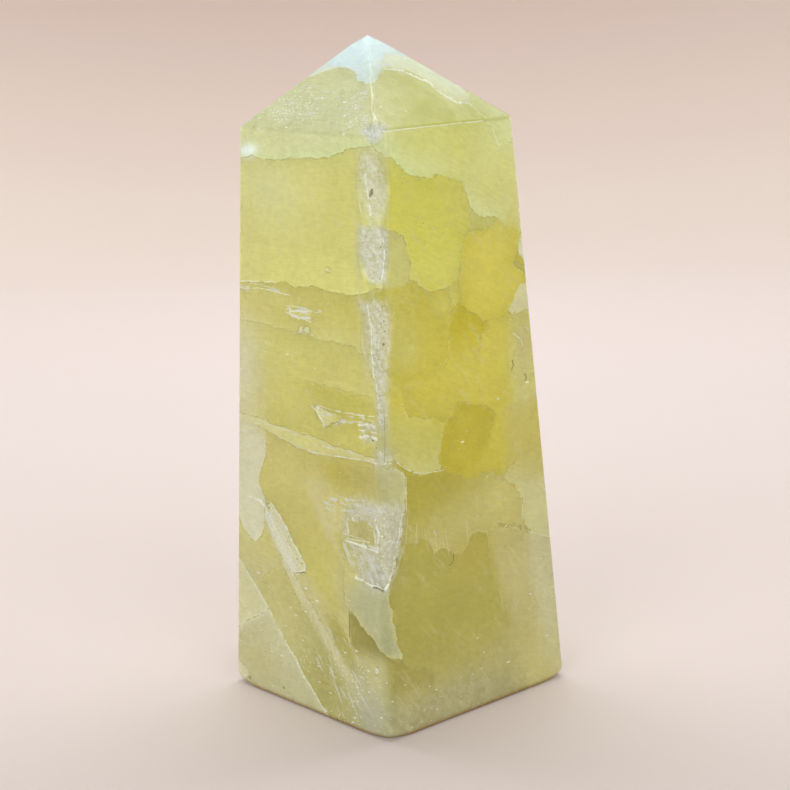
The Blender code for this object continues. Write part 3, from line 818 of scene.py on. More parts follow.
# Rough, unpolished crust by chart: strength, outline
CRUSTS = {
    "front": (
        (
            0.55, [(-2.6, 84), (-1.5, 84.6), (0, 84.6), (1.3, 83.6), (1.6, 81.5), (1.8, 79), (1.6, 77),
            (1.3, 75.6), (0.4, 75), (-1, 75.2), (-1.6, 76.5), (-2.2, 78.5), (-2.8, 81)]),
        (
            0.70, [(-3.3, 74), (-1, 74.3), (1.5, 74.1), (2.2, 73.2), (2.3, 70.5), (2, 68.5), (1.5, 67),
            (0.8, 66.4), (-0.8, 66.3), (-1.6, 67), (-2.6, 68.8), (-3.4, 71)]),
        (
            0.6, [(-4, 63.3), (-2.5, 63.6), (0, 63.6), (1.6, 63.2), (2, 61.5), (1.7, 59), (1.6, 57),
            (1.2, 54), (1, 51.5), (0.8, 49), (0.9, 47.5), (0.8, 46), (-0.2, 46), (-0.1, 48), (-0.4, 49.9),
            (-0.8, 51.3), (-1.2, 52.8), (-1.6, 54), (-1.8, 56), (-2.1, 58), (-2.3, 60), (-2.7, 61.8)]),
        (0.70, [(-4, 46.1), (-1.8, 46.4), (-0.8, 46), (-1.6, 45.3), (-3.6, 45.1)]),
        (0.70, [(-4.1, 44.4), (-1.4, 44.6), (-1.5, 43.9), (-3.4, 43.6)]),
        (0.45, [(-1, 42.6), (1, 42.7), (2.4, 41.9), (2.2, 40.9), (0.5, 40.4), (-1.4, 40.8)]),
        (
            0.52, [(-7.6, 33.6), (-4.7, 34.8), (-2.3, 35.1), (0.6, 34.9), (3.4, 34.4), (4.2, 32.6),
            (3.1, 30), (2.5, 27.8), (1.7, 25.6), (1, 24), (0.3, 22.5), (-2, 22.3), (-4, 22.5),
            (-5.4, 23.4), (-6.4, 25.4), (-7.8, 27.2), (-8.6, 29), (-8.4, 31.6)]),
        (0.75, [(-1.8, 87.4), (-0.5, 88), (1.4, 88), (2.4, 87.5), (1.6, 86.4), (0.4, 85.7), (-1, 86)]),
    ),
    "back": (
        (
            0.70, [(-1.6, 72), (0.4, 73), (2.2, 70.5), (1.8, 66), (0.8, 62), (-0.6, 60), (-1.4, 63),
            (-2.2, 68)]),
        (0.60, [(15, 52), (20, 53), (24.6, 51), (25.4, 47.8), (22, 46.6), (18.6, 48), (15.6, 49)]),
        (0.55, [(-31, 27.4), (-26, 28.6), (-22.4, 26), (-23, 22.6), (-27, 22), (-31, 23.6)]),
        (0.70, [(-1.2, 14), (0.6, 15.5), (1.8, 13), (1.4, 9), (-0.4, 8), (-1.4, 10.6)]),
    ),
}
CRUST_WINDOW = ("front", [(-8, 31.5), (-2.3, 31.6), (-1.9, 28.2), (-7.7, 28.1)])
CRUST_DEPTH = 0.22

# White streaks by chart: strength of the level ones, strength of the slanting ones, outline
STREAKS = {
    "front": (
        (0.8, 0, [(-20.4, 61.8), (-12, 61.6), (-11, 60), (-15, 59.2), (-20.2, 59.3)]),
        (0.8, 0, [(-14.6, 47.6), (-9, 47.4), (-3, 47.7), (-3, 46.3), (-9, 45.1), (-13.7, 44.9)]),
        (0.55, 0, [(-34, 63.6), (-26, 63.9), (-18, 63.6), (-19, 62.4), (-27, 61.9), (-34, 61.6)]),
        (0.35, 0, [(-34, 44), (-22, 43.6), (-12, 43), (-4, 42), (-4, 40.8), (-20, 40.6), (-34, 41.6)]),
        (0.7, 0.2, [(-14, 35), (-6, 35.4), (1, 35.2), (1, 32.4), (-8.6, 31.6), (-12.5, 31.2)]),
        (0.15, 0.85, [(-11, 28), (-2, 27.4), (1, 25), (-1, 23), (-6, 23.4), (-9, 25.4)]),
        (0, 0.4, [(-22, 21), (-17, 21), (-15, 17.5), (-19, 18)]),
        (
            0, 1, [(-27.6, 30.2), (-25.6, 29.2), (-19.2, 21.6), (-20.6, 20.2), (-23.8, 22.8),
            (-27.4, 27)]),
        (0, 0.5, [(-14, 15), (-9, 14), (-5, 10), (-1, 5), (-2, 0), (-12, 0), (-17, 8)]),
        (0, 0.15, [(3, 32), (8, 33), (16, 29), (17.5, 25.6), (8, 24.6), (2.4, 25)]),
        (0.45, 0.1, [(-30, 92), (-12, 95), (-8, 93), (-12, 88), (-30, 86.6)]),
        (0.5, 0.1, [(-6, 93), (-0.4, 93), (2.6, 88), (1, 86), (-7, 86.4)]),
        (0.5, 0, [(-7, 96), (4, 97), (4, 94.6), (-6, 94)]),
        (0.1, 0.25, [(27, 58), (31, 58), (31, 46), (27, 45)]),
    ),
    "back": (
        (0.9, 0, [(-26, 63.4), (-15, 64), (-14, 61.6), (-24, 60.8)]),
        (0.9, 0, [(8, 52), (15, 51.6), (15.4, 49.8), (9, 49.4)]),
        (0.7, 0, [(-22, 55.6), (-14, 55), (-14.4, 53.2), (-20, 53)]),
        (0, 0.5, [(-4, 30), (4, 20), (7, 12), (2, 10), (-6, 22)]),
        (0, 0.35, [(20, 30), (30, 30), (30, 20), (20, 18)]),
    ),
}

# White dust and frosting by chart: across, up, half width, half height, dust, frost
DUST = {
    "front": (
        # The next four lie on the point: white specks that are partly tiny scratches, partly painted
        # sparkle of the light from above
        (-20, 89.6, 10, 3, 1.5, 0.5),
        (-4, 89.5, 5, 3.4, 1.2, 0.4),
        (3, 89.5, 4, 3, 0.5, 0.2),
        (17, 91, 3, 2, 0.3, 0.3),
        (-20, 54, 9, 5, 0.22, 0),
        (-22, 8, 10, 7, 0.35, 0.3),
        (-8, 5, 7, 6, 0.85, 0.3),
        (-10, 31.5, 3.4, 3, 0.2, 0.7),
        (-18, 14, 10, 7, 0.3, 0),
        (12, 3, 14, 3.5, 0.35, 0.4),
        (29, 51, 2.4, 6, 0.3, 0.3),
        (31, 16, 3, 7, 0.2, 0.25),
        (24, 6, 8, 5, 0.2, 0.2),
        (-3, 28, 6, 6, 0.3, 0.3),
    ),
    "back": (
        (-18, 88.6, 8, 3, 0.8, 0.4),
        (0, 6, 12, 6, 0.5, 0.45),
        (20, 50, 5, 8, 0.25, 0.3),
        (-26, 14, 7, 8, 0.3, 0.3),
    ),
}
DUST_EVERYWHERE = 0.02

# Hair-fine lines by kind and chart: half width, points. White ones are broken up, clean ones run on
HAIRLINES = {
    "white": {
        "front": (
            (0.08, [(3.6, 94.9), (6.9, 94.4), (10.6, 93), (14, 90.9), (16.3, 89.8), (18.8, 89.5)]),
            (0.05, [(18.8, 89.5), (21.6, 87.7), (23.4, 85.8), (24.5, 83.4)]),
            (0.06, [(-15.3, 40.1), (-9, 40.5), (-4, 40.9), (1.2, 40.9)]),
            (0.16, [(-5.8, 23.1), (-3, 22.7), (0.2, 22.7), (0.9, 24)]),
            (0.08, [(0.9, 24), (1.7, 25.8), (2.1, 27.8), (3, 30), (3.4, 32.4)]),
            (0.06, [(4.5, 34), (4.5, 36), (4.6, 37.8)]),
            (0.22, [(-1.6, 31.8), (-1.3, 30), (-1.5, 28.3)]),
            (0.07, [(-2, 62.6), (-1.5, 60), (-1.5, 56.6), (-1.2, 54), (-0.6, 51.4), (-0.2, 48.6)]),
            (0.09, [(-1.9, 82), (-1.5, 79), (-1.1, 76.4)]),
            (0.09, [(1.5, 71.6), (1.7, 69.6), (1.2, 67.8)]),
            (0.04, [(-18, 57.4), (-16.2, 57.6), (-14.7, 57.5)]),
            (0.14, [(-14.4, 46.7), (-13.4, 46.2), (-12.6, 45)]),
            (0.08, [(-13, 47.3), (-8, 47.2), (-2, 47.5)]),
            (0.2, [(-4.1, 46), (-2.6, 46.3), (-1.4, 46)]),
            (0.2, [(-4.2, 44.3), (-2.8, 44.6), (-1.4, 44.4)]),
            (0.04, [(-28, 42.4), (-25, 42.7), (-22, 42.4), (-17, 42.7)]),
            (0.07, [(-31, 62.6), (-26, 63.1), (-20, 62.8)]),
            (0.06, [(-31, 63.7), (-27, 64), (-23, 64.3)]),
            (0.06, [(27.4, 55.2), (28.6, 54.4), (28.9, 53.2)]),
            (0.05, [(3.5, 40.3), (5, 39.2), (6.5, 38.5), (8, 38.1), (11.3, 37.9)]),
            (
                0.16, [(-24.9, 30.2), (-23.9, 29.5), (-20.8, 25.9), (-17.7, 22.6), (-18, 21.6),
                (-19.5, 21.1)]),
            (0.18, [(-30, 30.6), (-28, 30.4), (-26.6, 29.6)]),
            (0.06, [(-33.5, 20), (-26.9, 13.8)]),
            (0.07, [(-27, 14), (-23.3, 9.6), (-18.7, 5), (-14.7, 1.3)]),
        ),
        "back": (
            (0.14, [(-8, 30.4), (-1.5, 21.6), (3.8, 15.8)]),
            (0.12, [(24, 30), (27, 24), (26, 17)]),
            (0.12, [(14, 52.6), (19, 53.6), (25, 51.6)]),
            (0.12, [(-30, 50), (-24, 49.4), (-16, 50.2), (-9, 49.6)]),
            (0.12, [(-25, 57.6), (-16, 57), (-9, 57.6)]),
            (0.14, [(-18, 30.6), (-13, 24), (-8, 16.6)]),
            (0.12, [(6, 34), (11, 30.6), (14, 25), (19, 21.6)]),
            # Painted highlight along the shoulder crease, as on the front
            (0.10, [(-20, 87.2), (-10, 87.25), (-3, 87.2)]),
        ),
    },
    "clean": {
        "front": (
            (0.09, [(0.15, 93.4), (0.35, 91.6), (0.1, 90.2), (0.5, 88.9), (0, 87.4)]),
            (0.07, [(0.5, 89), (1, 87.8)]),
            # Painted highlight along the shoulder crease of the right side
            (0.09, [(2.8, 87.2), (12, 87.25), (20.5, 87.2)]),
            (0.16, [(-7.9, 28.1), (-5, 27.9), (-2, 27.8)]),
            (0.05, [(-8.2, 29.1), (-4, 28.9)]),
            (0.06, [(-19.7, 61.2), (-16, 61.3), (-13.6, 61)]),
            (0.05, [(-19, 60.7), (-15, 60.5)]),
            (0.10, [(-19.6, 60.1), (-17, 59.8), (-15.2, 59.5)]),
            (0.03, [(4.6, 31.6), (4.3, 29.4)]),
            (0.03, [(6.4, 30.4), (6.2, 28.4)]),
            (0.03, [(8, 29.4), (8.5, 27.2)]),
            (0.03, [(10, 28.8), (10.3, 26.4)]),
            (0.03, [(12.2, 28), (12.6, 25.6)]),
            (0.03, [(16.4, 28.6), (16.6, 26.8)]),
            (0.035, [(28.4, 25.4), (30, 24.6), (34, 23)]),
            (0.04, [(28.2, 29.4), (28.4, 25.8)]),
            (0.07, [(-26.2, 28.6), (-20.3, 21.3)]),
            (0.05, [(-25.6, 29.2), (-19.2, 22.2)]),
            (0.06, [(-25.8, 26.8), (-21.4, 20.8)]),
        ),
    },
    "dark": {
        "front": (
            (0.10, [(26.7, 51.3), (26.9, 50.8), (26.6, 50.4)]),
            (0.10, [(29.4, 48.9), (29.7, 48.6), (29.5, 48.3)]),
            (0.10, [(13.6, 24.6), (13.6, 23.9), (13.2, 23.5), (12.9, 23.5)]),
            (0.14, [(-2.3, 22.5), (-0.7, 22.4)]),
            (0.10, [(-19.8, 20.9), (-18.1, 21.4)]),
            (0.09, [(-8, 17.6), (-8.1, 14.2)]),
            (0.05, [(0.7, 48.4), (0.8, 45), (0.6, 41.5)]),
        ),
        "back": (
            (0.08, [(-5, 47.4), (-4.6, 44), (-5, 41)]),
            (0.10, [(11, 33.2), (11.4, 32.6), (11.1, 32)]),
        ),
    },
}

# Dark specks by chart: across, up, half width
SPECKS = {
    "front": (
        (-0.6, 78.9, 0.45),
        (-0.9, 78.4, 0.35),
        (14.4, 14, 0.2),
        (4.2, 18.3, 0.18),
        (14.5, 61, 0.25),
        (1.1, 60.9, 0.25),
        (1.3, 59.5, 0.2),
        (0.9, 57.6, 0.3),
        (0.6, 55.2, 0.2),
        (-1.7, 44.1, 0.3),
        (-1, 43.2, 0.2),
        (0.9, 71.2, 0.2),
        (-32.4, 1.4, 0.4),
        (-24, 2, 0.3),
        (-17.6, 54.9, 0.14),
    ),
    "back": (
        (8, 68, 0.3),
        (-12, 50, 0.2),
        (17, 20, 0.25),
        (-20, 9, 0.3),
    ),
}
FOOT_LINE = 1.0
# How far a surface may turn to the floor and still be the side: its normal's share downwards
UNDERSIDE = (0.95, 0.65)
# Streaks fade in from this share of their strength at their outline, over this width
STREAK_FADE = (0.4, 0.9)
# What stands for farther away than any mark reaches
FAR_AWAY = 9.0
# Wide and broad unevenness, worn gloss and faint veils: waves per millimetre, octaves, seed
CLOUDS = (
    (0.12, 3, 0),
    (0.45, 3, 40),
    (0.30, 3, 80),
    (0.18, 2, 120),
)
CRUST_CLOUDS = (1.1, 3, 160)
# How much fainter and finer each octave of the clouds is, by the noise's own measures
CLOUD_FALL = 1.0
CLOUD_STEP = 2.0
# How wide the crust's relief fades in from its edge
CRUST_SHOULDER = 1.4
# The share of the way up the point beyond which its charts stay the same
NEAR_POINT = 0.999


def charts(points):
    """Across and up of every point, in millimetres, on the front and the back chart."""
    z = points[:, 2]
    share = np.clip((z - SHOULDER_LEVEL) / (HEIGHT - SHOULDER_LEVEL), 0.0, NEAR_POINT)[:, None]
    ends = {}
    for name in CORNER_SIGNS:
        line = corner_line(name, np.minimum(z, SHOULDER_LEVEL))
        ends[name] = line + (POINT[:2] - line) * share
    wide = ends["right"][:, 0] - ends["front"][:, 0]
    deep = ends["left"][:, 1] - ends["front"][:, 1]
    x = np.clip((points[:, 0] - ends["front"][:, 0]) / wide, 0.0, 1.0)
    y = np.clip((points[:, 1] - ends["front"][:, 1]) / deep, 0.0, 1.0)
    x_far, y_far = 1.0 - x, 1.0 - y
    front = np.where(
        x > y,
        x * wide - y * deep * np.cos(np.pi * x),
        -y * deep + x * wide * np.cos(np.pi * y),
    )
    back = np.where(
        y_far > x_far,
        y_far * deep - x_far * wide * np.cos(np.pi * y_far),
        -x_far * wide + y_far * deep * np.cos(np.pi * x_far),
    )
    inset = np.minimum(np.minimum(x, x_far) * wide, np.minimum(y, y_far) * deep)
    up = np.where(z < FLAT_WITHIN, -inset, z)
    return {"front": (front, up), "back": (back, up)}


def from_outline(outline, across, up):
    """Distance of each point inside a closed outline, negative outside it."""
    corners = np.array(outline, float)
    near = (across > corners[:, 0].min() - JAG_REACH) & (across < corners[:, 0].max() + JAG_REACH)
    near &= (up > corners[:, 1].min() - JAG_REACH) & (up < corners[:, 1].max() + JAG_REACH)
    a, b = across[near], up[near]
    distance = np.full(len(a), 2 * JAG_REACH)
    inside = np.zeros(len(a), bool)
    for (a0, b0), (a1, b1) in zip(corners, np.roll(corners, -1, axis=0)):
        run_a, run_b = a1 - a0, b1 - b0
        share = np.clip(((a - a0) * run_a + (b - b0) * run_b) / (run_a**2 + run_b**2), 0.0, 1.0)
        distance = np.minimum(distance, np.hypot(a - a0 - share * run_a, b - b0 - share * run_b))
        if b0 != b1:
            crosses = (b0 > b) != (b1 > b)
            inside ^= crosses & (a < a0 + run_a * (b - b0) / run_b)
    signed = np.full(len(across), -JAG_REACH)
    signed[near] = np.where(inside, distance, -np.minimum(distance, JAG_REACH))
    return signed


def mixed(first, second, share):
    """Between two colours, by a share for every point."""
    return first + (second - first) * share[:, None]


def eased(share):
    """A share from 0 to 1 with a soft start and end."""
    share = np.clip(share, 0.0, 1.0)
    return share * share * (3.0 - 2.0 * share)


def crossed(value, width):
    """0 to 1 as a value rises through 0, over a width."""
    return eased(value / width + 0.5)


def ground_tone(levels, up):
    """Colour of the ground by height."""
    heights = [height for height, _ in levels]
    tones = np.array([seen(name) for _, name in levels])
    return np.column_stack([np.interp(up, heights, tones[:, i]) for i in range(3)])


def soft_spot(chart, across, up, half_width, half_height, lean=0.0):
    """Strength of a soft oval spot, 1 at its middle."""
    a, b = chart[0] - across, chart[1] - up
    turn = math.radians(lean)
    along = a * math.cos(turn) + b * math.sin(turn)
    beside = b * math.cos(turn) - a * math.sin(turn)
    return np.exp(-((along / half_width) ** 2) - (beside / half_height) ** 2)


def paint_ground(places):
    """Colour of the stone under all patches."""
    across, up = places["front"]
    right = crossed(across, FRONT_BLEND)
    ground = mixed(ground_tone(LEFT_GROUND, up), ground_tone(RIGHT_GROUND, up), right)
    corner = BASE_DEPTH - (BASE_DEPTH - SHOULDER_WIDTH) * np.clip(up, 0.0, SHOULDER_LEVEL) / SHOULDER_LEVEL
    far = crossed(corner - np.abs(places["back"][0]), FAR_BLEND)
    return mixed(ground, ground_tone(FAR_GROUND, up), far)


def paint_patch(patch, inside, place, under):
    """Colour of one patch at every point."""
    depth = np.exp(-np.clip(inside, 0.0, None) / patch.reach)
    tone = mixed(np.tile(patch.tone, (len(inside), 1)), patch.edge, depth)
    if patch.fade:
        (a0, b0), (a1, b1), last = patch.fade
        run = (a1 - a0) ** 2 + (b1 - b0) ** 2
        share = eased(((place[0] - a0) * (a1 - a0) + (place[1] - b0) * (b1 - b0)) / run)
        tone = mixed(tone, seen(last) if last else under, share)
    return tone


def extra_light(places, points, normals):
    """How much more light than the sides each point gets, and how much more it reflects.

    The base colour is darkened by both there, as painted shade that offsets them.
    """
    on_tip = eased((normals[:, 2] - TIP_SLOPE[0]) / TIP_SLOPE[1])
    on_tip *= points[:, 2] > SHOULDER_LEVEL - TIP_BELOW
    facing = -(normals[:, 0] + normals[:, 1]) / math.sqrt(2.0)
    start, full = FRONT_FACING
    front = np.clip((facing - start) / (full - start), 0.0, 1.0) * (1.0 - on_tip)
    light = (1.0 + (TIP_LIGHT - 1.0) * on_tip[:, None]) * (1.0 + (FRONT_LIGHT - 1.0) * front[:, None])
    to_right = crossed(places["front"][0], HALVES_BLEND)[:, None]
    film = TIP_FILM_LEFT + (TIP_FILM_RIGHT - TIP_FILM_LEFT) * to_right
    near = crossed(facing, FACING_BLEND)
    return light, film * (on_tip * near)[:, None] + FRONT_FILM * front[:, None]


def lay_sheet(sheet, fields, composite, places):
    """A sheet's colour and distance inside its patches; their rims change the fields under it."""
    best = np.full(len(composite), -2 * JAG_REACH)
    colors = composite.copy()
    for patch in sheet:
        place = places[patch.chart]
        inside = from_outline(patch.outline, *place)
        tone = paint_patch(patch, inside, place, composite)
        # A rim below 0 is painted shadow: it darkens the sheets under the patch all round its edge
        if patch.rim:
            strength = abs(patch.rim) * np.exp(np.clip(inside, None, 0.0) / patch.rim_reach)
            level = PALE_RIM if patch.rim > 0 else 0.0
            for field in fields:
                field[0] = mixed(field[0], np.minimum(field[0] * level, RIM_LIMIT), strength)
        nearer = (inside > best) & (inside > -JAG_REACH)
        best = np.where(nearer, inside, best)
        colors = np.where(nearer[:, None], tone, colors)
    return colors, best


def paint_patches(places, points, normals):
    """The ground's colour, and each sheet's colour and distance inside its patches."""
    ground = paint_ground(places)
    fields = [[ground, None]]
    composite = ground.copy()
    for sheet in SHEETS:
        colors, best = lay_sheet(sheet, fields, composite, places)
        fields.append([colors, best])
        composite = np.where((best > 0)[:, None], colors, composite)
    for chart, spots in SOFT_SPOTS.items():
        for *spot, tone, strength in spots:
            share = strength * soft_spot(places[chart], *spot)
            for field in fields:
                field[0] = mixed(field[0], seen(tone), share)
    # Painted shade: colours are darkened where the tip and the front edge get more light and reflection
    light, film = extra_light(places, points, normals)
    return [(np.maximum((colors - film) / light, DARKEST), distance) for colors, distance in fields]


def nearest_line(places, kind):
    """Distance to the nearest hairline of a kind: signed in its half widths, and in millimetres."""
    best = np.full(len(places["front"][0]), FAR_AWAY)
    signed = best.copy()
    for chart, lines in HAIRLINES[kind].items():
        across, up = places[chart]
        for half_width, line in lines:
            for (a0, b0), (a1, b1) in zip(line, line[1:]):
                run_a, run_b = a1 - a0, b1 - b0
                length = math.hypot(run_a, run_b)
                along = ((across - a0) * run_a + (up - b0) * run_b) / length
                beside = ((across - a0) * run_b - (up - b0) * run_a) / length
                past = np.maximum(np.maximum(-along, along - length), 0.0)
                distance = np.hypot(beside, past)
                nearer = distance < best
                best = np.where(nearer, distance, best)
                signed = np.where(nearer, beside / half_width, signed)
    return signed, best


def crust_field(places):
    """Distance inside the nearest crust and that crust's strength."""
    count = len(places["front"][0])
    best, strength = np.full(count, -JAG_REACH), np.zeros(count)
    for chart, crusts in CRUSTS.items():
        for strong, outline in crusts:
            inside = from_outline(outline, *places[chart])
            nearer = inside > best
            best = np.where(nearer, inside, best)
            strength = np.where(nearer, strong, strength)
    return best, strength


def dust_and_frost(places):
    """Strength of the white dust and of the frosting."""
    count = len(places["front"][0])
    dust, frost = np.full(count, DUST_EVERYWHERE), np.zeros(count)
    for chart, spots in DUST.items():
        for *spot, dusty, frosty in spots:
            share = soft_spot(places[chart], *spot)
            dust = np.maximum(dust, dusty * share)
            frost = np.maximum(frost, frosty * share)
    return dust, frost


def streaks_and_specks(places):
    """Strength of the level and the slanting streaks, and closeness to the nearest speck's middle."""
    count = len(places["front"][0])
    level, slant, speck = np.zeros(count), np.zeros(count), np.full(count, -FAR_AWAY)
    start, width = STREAK_FADE
    for chart, streaks in STREAKS.items():
        for level_strength, slant_strength, outline in streaks:
            inside = np.clip(from_outline(outline, *places[chart]) / width + start, 0.0, 1.0)
            level = np.maximum(level, level_strength * inside)
            slant = np.maximum(slant, slant_strength * inside)
    for chart, specks in SPECKS.items():
        for across, up, half_width in specks:
            far = np.hypot(places[chart][0] - across, places[chart][1] - up)
            speck = np.maximum(speck, 1.0 - far / half_width)
    return level, slant, speck


def clouds(points, scale, octaves, seed):
    """Soft noise between about -1 and 1 at every point; scale is in waves per millimetre."""
    start = Vector((seed, 0, 0))
    places = (Vector(point) * scale + start for point in points)
    return np.array([noise.fractal(place, CLOUD_FALL, CLOUD_STEP, octaves) for place in places])


def store(data, name, *columns):
    """Keeps up to four numbers per point on the mesh, for the material to read."""
    values = np.column_stack(columns)
    full = np.zeros((len(values), 4), np.float32)
    full[:, : values.shape[1]] = values
    attribute = data.attributes.new(name, "FLOAT_COLOR", "POINT")
    attribute.data.foreach_set("color", full.ravel())


def mark_stone(data, points):
    """Writes all markings onto the mesh's points."""
    places = charts(points)
    normals = np.zeros(len(points) * 3, np.float32)
    data.vertex_normals.foreach_get("vector", normals)
    normals = normals.reshape(-1, 3)
    fields = paint_patches(places, points, normals)
    store(data, "ground", fields[0][0])
    for i, (colors, distance) in enumerate(fields[1:]):
        store(data, f"sheet_{i}", colors, distance)
    crust, crust_strength = crust_field(places)
    window = from_outline(CRUST_WINDOW[1], *places[CRUST_WINDOW[0]])
    store(data, "rough", crust, window, *dust_and_frost(places))
    store(data, "streaks", *streaks_and_specks(places), crust_strength)
    store(data, "hairlines", *nearest_line(places, "white"), *nearest_line(places, "dark"))
    on_side = eased((normals[:, 2] + UNDERSIDE[0]) / (UNDERSIDE[0] - UNDERSIDE[1]))
    store(data, "clean_lines", *nearest_line(places, "clean"), on_side)
    store(data, "clouds", *[clouds(points, *cloud) for cloud in CLOUDS])


def crust_relief(points):
    """Pushes the crust's points a little way in, to a rough surface."""
    crust, strength = crust_field(charts(points))
    share = eased(crust / CRUST_SHOULDER) * (points[:, 2] > FLAT_WITHIN)
    inward = towards_core(points)
    inward /= np.linalg.norm(inward, axis=1)[:, None]
    rough = 0.5 + 0.5 * clouds(points, *CRUST_CLOUDS)
    depth = CRUST_DEPTH * share * strength * np.clip(rough, 0.0, 1.0)
    return points + inward * depth[:, None]


# The full part of a line, as a share of its half width
LINE_CORE = 0.2


class Value:
    """A number or colour that a material works out at every point, with the usual sums."""

    def __init__(self, recipe, socket):
        self.recipe = recipe
        self.socket = socket

    def __add__(self, other):
        return self.recipe.math("ADD", self, other)

    def __sub__(self, other):
        return self.recipe.math("SUBTRACT", self, other)

    def __rsub__(self, other):
        return self.recipe.math("SUBTRACT", other, self)

    def __mul__(self, other):
        return self.recipe.math("MULTIPLY", self, other)


class Recipe:
    """Short ways to add and join the nodes of one material."""

    def __init__(self, name):
        self.material = bpy.data.materials.new(name)
        self.material.use_nodes = True
        self.tree = self.material.node_tree
        self.shader = self.tree.nodes["Principled BSDF"]

    def put(self, socket, value):
        """Joins a value to an input, or sets a plain number there."""
        if isinstance(value, Value):
            self.tree.links.new(value.socket, socket)
        else:
            socket.default_value = value

    def made(self, kind, inputs, *outputs, **settings):
        """Adds a node and gives those of its outputs that are asked for."""
        node = self.tree.nodes.new("ShaderNode" + kind)
        for name, value in settings.items():
            setattr(node, name, value)
        for key, value in inputs.items():
            self.put(node.inputs[key], value)
        values = [Value(self, node.outputs[output]) for output in outputs]
        return values[0] if len(values) == 1 else values

    def shaded(self, inputs):
        """Sets or joins the shader's inputs and gives the finished material."""
        for name, value in inputs.items():
            self.put(self.shader.inputs[name], value)
        return self.material

    def math(self, operation, first, second=0.0):
        return self.made("Math", {0: first, 1: second}, 0, operation=operation)

    def less(self, first, second):
        """1 where the first is below the second."""
        return self.math("LESS_THAN", first, second)

    def more(self, first, second):
        """1 where the first is above the second."""
        return self.math("GREATER_THAN", first, second)

    def most(self, greatest, *others):
        """The greatest of some values."""
        for value in others:
            greatest = self.math("MAXIMUM", greatest, value)
        return greatest

    def mix(self, share, first, second):
        """From the first colour to the second; a palette's name stands for its colour."""
        first, second = ((*seen(c), 1.0) if isinstance(c, str) else c for c in (first, second))
        return self.made("Mix", {"Factor": share, 6: first, 7: second}, 2, data_type="RGBA")

    def noise(self, vector, scale, detail, rough):
        inputs = {"Vector": vector, "Scale": scale, "Detail": detail, "Roughness": rough}
        return self.made("TexNoise", inputs, "Fac")

    def cells(self, vector, scale):
        """Distance to the nearest cell's point, in cells, and three random numbers of that cell."""
        distance, color = self.made("TexVoronoi", {"Vector": vector, "Scale": scale}, "Distance", "Color")
        return distance, self.split(color)

    def split(self, color):
        return self.made("SeparateColor", {0: color}, 0, 1, 2)

    def placed(self, x, y, z):
        """A place by its three parts."""
        return self.made("CombineXYZ", {0: x, 1: y, 2: z}, 0)

    def step(self, value, low, high, to_low=0.0, to_high=1.0):
        """A soft rise between two numbers as the value goes from low to high."""
        inputs = {0: value, 1: low, 2: high, 3: to_low, 4: to_high}
        return self.made("MapRange", inputs, 0, interpolation_type="SMOOTHSTEP")

    def ridge(self, value, half_width):
        """1 where the value is near 0, falling to 0 at the half width."""
        return self.step(self.math("ABSOLUTE", value), half_width, half_width * LINE_CORE)

    def stored(self, name):
        """The colour and the fourth number that the mesh keeps under a name."""
        return self.made("Attribute", {}, "Color", "Alpha", attribute_name=name)


# Grains: waves per millimetre along and across them, detail, roughness
LEVEL_GRAIN = (0.16, 1.7, 4.0, 0.65)
FINE_GRAIN = (0.45, 2.6, 2.0, 0.65)
SLANT_GRAIN = (0.14, 1.5, 2.0, 0.6)
# How fast grains change towards the stone's inside, how much the fine one falls to the right beyond
# the front edge, and the slanting one's run across and down
GRAIN_THROUGH = 0.35
GRAIN_FALL = 0.38
SLANT_RUN = (0.62, 0.78)
# Noises in waves per millimetre, detail and roughness, and cells per millimetre
FINE_NOISE = (3.0, 1.0, 0.5)
MIDDLE_NOISE = (1.1, 3.0, 0.6)
TOOTH_CELLS = 1.5
DOT_CELLS = 2.6
# How far the patches' edges stray: by broad clouds, fine noise and teeth, and less so on the left
JAG_SHARES = (0.55, 0.4, 0.36)
JAG_ON_LEFT = 0.5
FRONT_TURN = 2.0
# Noise levels between which lines come and go
BROKEN = (0.40, 0.56)
# A patch's edge: how soft it is, the change of tone that shows its lines, the dark and the pale line
# as place and half width, and the pale line's strength
PATCH_EDGE = 0.04
LINE_CHANGE = (0.004, 0.03)
DARK_LINE = (0.05, 0.15)
PALE_LINE = (0.16, 0.2)
PALE_LINE_STRENGTH = 0.16
# Brightness by wide clouds, middle noise and fine grain: from and to, and what they give
WIDE_LIGHT = (-0.7, 0.7, 0.97, 1.03)
MIDDLE_LIGHT = (0.3, 0.7, -0.03, 0.03)
GRAIN_LIGHT = (0.3, 0.7, -0.045, 0.045)
# Faint pale veils along the slanting grain and dark threads along the level one
VEIL_GRAIN = (0.52, 0.68)
VEIL_CLOUDS = (-0.1, 0.3)
VEIL_STRENGTH = 0.28
THREAD_GRAIN = (0.46, 0.30)
THREAD_CLOUDS = (-0.2, 0.5)
THREAD_STRENGTH = 0.10
FROST_LIGHT = (0.35, 0.65, 0.2, 0.6)
# Streaks show where the grain passes a cut, which is lower where they are marked stronger
STREAK_CUT = 0.72
STREAK_GAIN = 0.26
STREAK_START = (0.02, 0.2)
LEVEL_STREAK = (0.03, 0.7)
SLANT_STREAK = (0.05, 0.5)
# Crust: how far its edge strays, how soft it is where weak or strong, and what shows in it
CRUST_STRAY = 0.8
CRUST_OUTSIDE = -0.3
CRUST_SOFTNESS = (0.9, 0.4, 0.1, 1.6)
CRUST_TEXTURE = (0.35, 0.15, 0.25, 0.25)
CRUST_VEIL = (0.41, 0.59)
CRUST_COVER = (0.35, 0.75)
CRUST_PIT = (0.42, 0.2)
CRUST_FLECK = (0.42, 0.22)
PIT_SHARE = 0.10
PIT_STRENGTH = 0.7
FLECK_ABOVE = 0.80
FLECK_STRENGTH = 0.6
